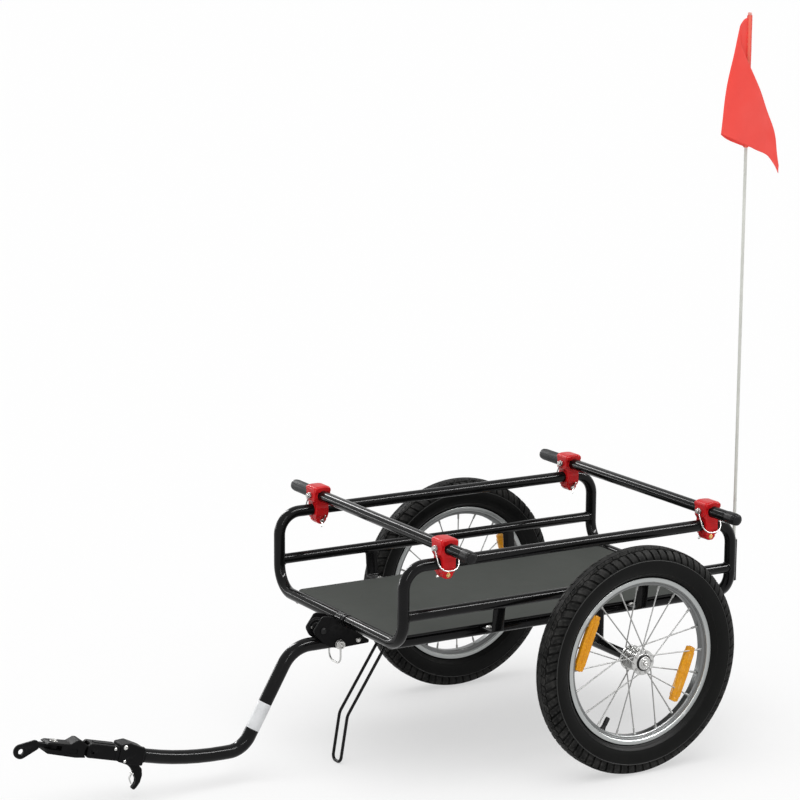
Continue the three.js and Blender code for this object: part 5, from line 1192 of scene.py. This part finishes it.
for end, y in BARS:
    piece(f"bar_{end}", [sweep([(-BAR_HALF, y, BAR_Z), (BAR_HALF, y, BAR_Z)], TUBE, 48, edge=1.0)], black_paint,
          "frame", f"crossbar_{end}")
    for name, side in SIDES:
        start = CAP_LENGTHS[name]
        profile = [(start, 11.05), (start, 11.5), (start + 0.6, 11.8), (324, 11.8), (328.6, 11.0), (332.0, 8.6),
                   (333.4, 4.8), (333.6, 0)]
        cap = lathe(rounded(profile, [0, 0.2, 0.3, 4, 4, 4, 3, 0], 4, False), 48)
        piece(f"bar_cap_{end}_{name}", [cap], cap_black if side > 0 else cap_rubber, "frame", side=side,
              at=(0, y, BAR_Z))
    for name, side in SIDES:
        spot, label = (side * SIDE, y, BAR_Z), f"{end}_{name}"
        piece(f"clamp_body_{label}", clamp, red_plastic, "frame", f"clamp_{label}", at=spot, sharp=38, weighted=True)
        piece(f"clamp_pin_steel_{label}", pin_steel, zinc_steel, "frame", f"clamp_pin_{label}", at=spot)
        c, s = math.cos(rad(BAIL_LEAN) * side), math.sin(rad(BAIL_LEAN) * side)
        piece(f"bail_wire_{label}", [moved(p, (0, 0, 0), (c, 0, s), (0, 1, 0), (-s, 0, c)) for p in bail], wire_steel,
              f"bail_{label}", f"bail_{label}", at=spot)
        piece(f"jaw_bolt_{label}", bolt, brass, "frame", side=side, at=spot)
        piece(f"wing_nut_{label}", nut, zinc_steel, "frame", side=side, at=spot)

# ---------------------------------------------------------------- flag
HOLDER, HOLDER_BORE, HOLDER_ANGLE, HOLDER_GAP = 6.5, 3.5, rad(60), 0.3
HOLDER_LOW, HOLDER_FLOOR, HOLDER_TOP, POLE_TOP, POLE_RADIUS = 312, 316, 393, 1402, 3.1
reach = TUBE + HOLDER_GAP + HOLDER
POLE = (SIDE - reach * math.cos(HOLDER_ANGLE), REAR + reach * math.sin(HOLDER_ANGLE))
holder = lathe([(HOLDER_LOW, 0), (HOLDER_LOW, HOLDER), (HOLDER_TOP, HOLDER), (HOLDER_TOP, HOLDER_BORE),
                (HOLDER_FLOOR, HOLDER_BORE), (HOLDER_FLOOR, 0)], 40, edge=0.5)
lip = lathe([(HOLDER_TOP, 3.4), (HOLDER_TOP, 5.4), (HOLDER_TOP + 3.4, 4.8), (HOLDER_TOP + 3.4, 3.4)], 40, True, 0.4)
pole = lathe([(HOLDER_FLOOR + HOLDER_GAP, 0), (HOLDER_FLOOR + HOLDER_GAP, POLE_RADIUS),
              (POLE_TOP - 1.5, POLE_RADIUS), (POLE_TOP, 2.2), (POLE_TOP, 0)], 28, edge=0.3)
welds = []
line = unit([POLE[0] - SIDE, POLE[1] - REAR])
for low, high in ((330, 346), (368, 384)):
    for s in (1, -1):
        x, y = np.array([SIDE, REAR]) + line * 10.6 + np.array([-line[1], line[0]]) * s * 3.6
        welds.append(sweep([(x, y, z) for z in np.linspace(low, high, 9)], 1.8, 10, edge=0.8,
                           swell=[1 + 0.12 * math.sin(3 * k) for k in range(9)]))
piece("holder_tube", [upright(holder, *POLE), *welds], black_paint, "frame", "flag_holder")
piece("holder_ring", [upright(lip, *POLE)], pole_white, "frame")
piece("pole_rod", [upright(pole, *POLE)], pole_white, "flag", "flag_pole")

# The flag's edges, from the pole's top (across, lengthwise, height), in shares of its unit
FLAG_UNIT, FLAG_THICKNESS = 300, 0.7
UPPER = [(0, 0, -0.025), (0.003, -0.052, -0.05), (0.017, -0.09, -0.13), (0.033, -0.05, -0.26), (0.04, 0.068, -0.483),
         (0.033, 0.178, -0.707), (0.027, 0.243, -0.96)]
LOWER = [(0, 0, -0.837), (-0.007, -0.113, -0.793), (0.01, -0.203, -0.747), (0.033, -0.083, -0.8), (0.04, 0.04, -0.847),
         (0.037, 0.155, -0.9), (0.027, 0.238, -1.01)]
COLUMNS, ROWS = 120, 60


def spline(points):
    """A smooth curve through the points, one place for each column."""
    pts = np.array(points, float) * FLAG_UNIT
    pts = np.vstack([2 * pts[0] - pts[1], pts, 2 * pts[-1] - pts[-2]])
    spans, out = len(points) - 1, []
    for i in range(COLUMNS + 1):
        s = min(spans - 1e-9, spans * i / COLUMNS)
        k, t = int(s), s - int(s)
        a, b, c, d = pts[k:k + 4]
        out.append(0.5 * (2 * b + (c - a) * t + (2 * a - 5 * b + 4 * c - d) * t * t + (3 * b - a - 3 * c + d) * t ** 3))
    return np.array(out)


def ripple(t, s):
    """Folds and a bow, for a share t away from the pole and s down from the upper edge."""
    fade = min(1.0, t * 5) * min(1.0, (1 - t) * 9 + 0.25)
    fold = 2.08 * math.sin(11 * t + 2.2 * s + 0.6) * s + 1.19 * math.sin(23 * t - 3 * s) * (1 - s)
    fold += 0.5 * math.sin(37 * t + 9 * s + 1.0)
    bow = 3.4 * math.sin(math.pi * s) * math.exp(-((t - 0.33) / 0.17) ** 2)
    return np.array([fold * fade - 0.5 * bow, 0.35 * fold * fade - 0.86 * bow, 0])


top_line, low_line = spline(UPPER), spline(LOWER)
grid = np.array([top_line[i] * (1 - j / ROWS) + low_line[i] * (j / ROWS) + ripple(i / COLUMNS, j / ROWS)
                 for i in range(COLUMNS + 1) for j in range(ROWS + 1)])
corners = [i * (ROWS + 1) + j for i in range(COLUMNS) for j in range(ROWS)]
faces = [(k, k + ROWS + 1, k + ROWS + 2, k + 1) for k in corners]
AT_TOP = (*POLE, POLE_TOP)
flag = piece("flag_cloth", [(grid, faces)], nylon, "flag", "flag", at=AT_TOP, sharp=180)
thick = flag.modifiers.new("cloth", "SOLIDIFY")
thick.thickness, thick.offset = FLAG_THICKNESS * MM, 0
SLEEVE, SLEEVE_TOP, SLEEVE_LOW, SLEEVE_STEPS = 4.9, -5.5, -251.0, 60
sleeve_path = [(0, 0, z) for z in np.linspace(SLEEVE_TOP, SLEEVE_LOW, SLEEVE_STEPS)]
sleeve_swell = [1 + 0.02 * math.sin(k * 0.5) + 0.01 * math.sin(k * 1.3 + 1) for k in range(SLEEVE_STEPS)]
flag_sleeve = piece("flag_sleeve", [sweep(sleeve_path, SLEEVE, 36, edge=0.4, swell=sleeve_swell)], sheened_sleeve_nylon,
                    "flag", at=AT_TOP)

# Folding keeps a cloth's area, so the flat area is that of the modelled sheet, in square metres.
a, b, c, d = (grid[list(corner)] for corner in zip(*faces))
halves = np.cross(b - a, c - a), np.cross(c - a, d - a)
AREA = float(sum(0.5 * np.linalg.norm(half, axis=1).sum() for half in halves)) * MM ** 2
for turn in (8, 92):
    c, s = math.cos(rad(turn - 80)), math.sin(rad(turn - 80))
    seam = [((SLEEVE + 0.05) * c, (SLEEVE + 0.05) * s, z) for z in np.linspace(SLEEVE_TOP - 1, SLEEVE_LOW + 1, 90)]
    piece(f"flag_stitches_{turn}", [sweep(seam[k:k + 3], 0.34, 8, edge=0.2) for k in range(0, 88, 3)], thread, "flag",
          at=AT_TOP)
pole_cap = lathe([(0, 0), (0, 3.3), (-1.2, 3.8), (-5.4, 3.9), (-5.4, 3.1)], 28, edge=0.5)
piece("pole_cap", [upright(pole_cap, *AT_TOP)], cap_pink, "flag")

# ---------------------------------------------------------------- camera, light, floor
CAMERA_AT, FOCAL_PIXELS, IMAGE_PIXELS, SENSOR = (4362.8, -2896.8, 1702.0), 2763.1, 800, 36.0
scene = bpy.context.scene


def link(name, data):
    thing = bpy.data.objects.new(name, data)
    scene.collection.objects.link(thing)
    return thing


def standing(x, y, z, place):
    """A matrix from an object's three axes and its place."""
    return Matrix([[x[i], y[i], z[i], place[i]] for i in range(3)] + [[0, 0, 0, 1]])


# The camera's place, direction and focal length were fitted to the photo.
look, level, roll = unit([-0.8448, 0.4976, -0.1967]), unit([0.5075, 0.8617, 0]), 0.006
rise = np.cross(level, look)
lens = bpy.data.cameras.new("camera")
lens.sensor_width, lens.lens = SENSOR, FOCAL_PIXELS * SENSOR / IMAGE_PIXELS
lens.clip_start, lens.clip_end = 0.1, 200
camera = link("camera", lens)
camera.matrix_world = standing(math.cos(roll) * level + math.sin(roll) * rise,
                               -math.sin(roll) * level + math.cos(roll) * rise, -look,
                               (np.array(CAMERA_AT) + np.array([0, SHIFT, 0])) * MM)
scene.camera = camera


LAMP_FROM, LAMP_REACH = np.array([0, 0.3, 0.4]), 3.2


def strip_light(name, way, along, width, length, glow):
    """A long lamp that only shows as a streak on gloss. Its lengths are in metres."""
    data = bpy.data.lights.new(name, "AREA")
    data.shape, data.size, data.size_y = "RECTANGLE", width, length
    data.energy = glow * math.pi * width * length
    back, along = unit(way), np.asarray(along, float)
    long_way = unit(along - back * (along @ back))
    thing = link(name, data)
    thing.matrix_world = standing(np.cross(long_way, back), long_way, back, LAMP_FROM + back * LAMP_REACH)
    thing.visible_diffuse = False
    thing.visible_camera = False


strip_light("rails", (0.534, 0.498, 0.683), (0, 1, 0), 0.34, 4.2, 42)
strip_light("crossbars", (-0.845, -0.133, 0.518), (1, 0, 0), 0.34, 2.4, 20)
strip_light("low", (-0.845, -0.533, 0.052), (1, 0, 0), 0.12, 2.4, 16)
strip_light("front", (0.80, -0.42, 0.43), (0, 0, 1), 0.14, 1.6, 22)
sun = bpy.data.lights.new("sun", "SUN")
sun.energy, sun.angle = 1.75, rad(65)
sun_thing = link("sun", sun)
sun_thing.rotation_euler = (rad(14), rad(10), 0)
sun_thing.visible_glossy = False


def seen(tree, in_light, in_view):
    """One value where light is gathered, another for the camera, reflections and what shows through."""
    path = node(tree, "LightPath").outputs
    direct = maths(tree, "MAXIMUM", path["Is Camera Ray"], path["Is Glossy Ray"])
    return ramp(tree, maths(tree, "MAXIMUM", direct, path["Is Transmission Ray"]), 0.0, 1.0, in_light, in_view)


world = bpy.data.worlds.new("studio")
world.use_nodes = True
sky = world.node_tree.nodes["Background"]
sky.inputs["Color"].default_value = (1, 1, 1, 1)
feed(world.node_tree, seen(world.node_tree, 0.5, 0.9), sky.inputs["Strength"])
scene.world = world
scene.view_settings.view_transform = "Standard"

HALF_FLOOR = 60
floor = raw("floor", ([(x, y, 0) for x, y in rect(-HALF_FLOOR, -HALF_FLOOR, HALF_FLOOR, HALF_FLOOR)], [(0, 1, 2, 3)]))
paper, tree, bsdf = shader("floor_paper", None, 0.93, 0.8, Specular_IOR_Level=0.0)
tone = mixed(tree, 0.925, 0.935, use(tree, GRAIN, Scale=300.0, Patch=0.6)["Mask"])
dressed(tree, bsdf, mixed(tree, tone, 0.42, seen(tree, 0.0, 1.0)))
bsdf.inputs["Emission Color"].default_value = (1, 1, 1, 1)
feed(tree, seen(tree, 0.0, 0.56), bsdf.inputs["Emission Strength"])
floor.data.materials.append(paper)
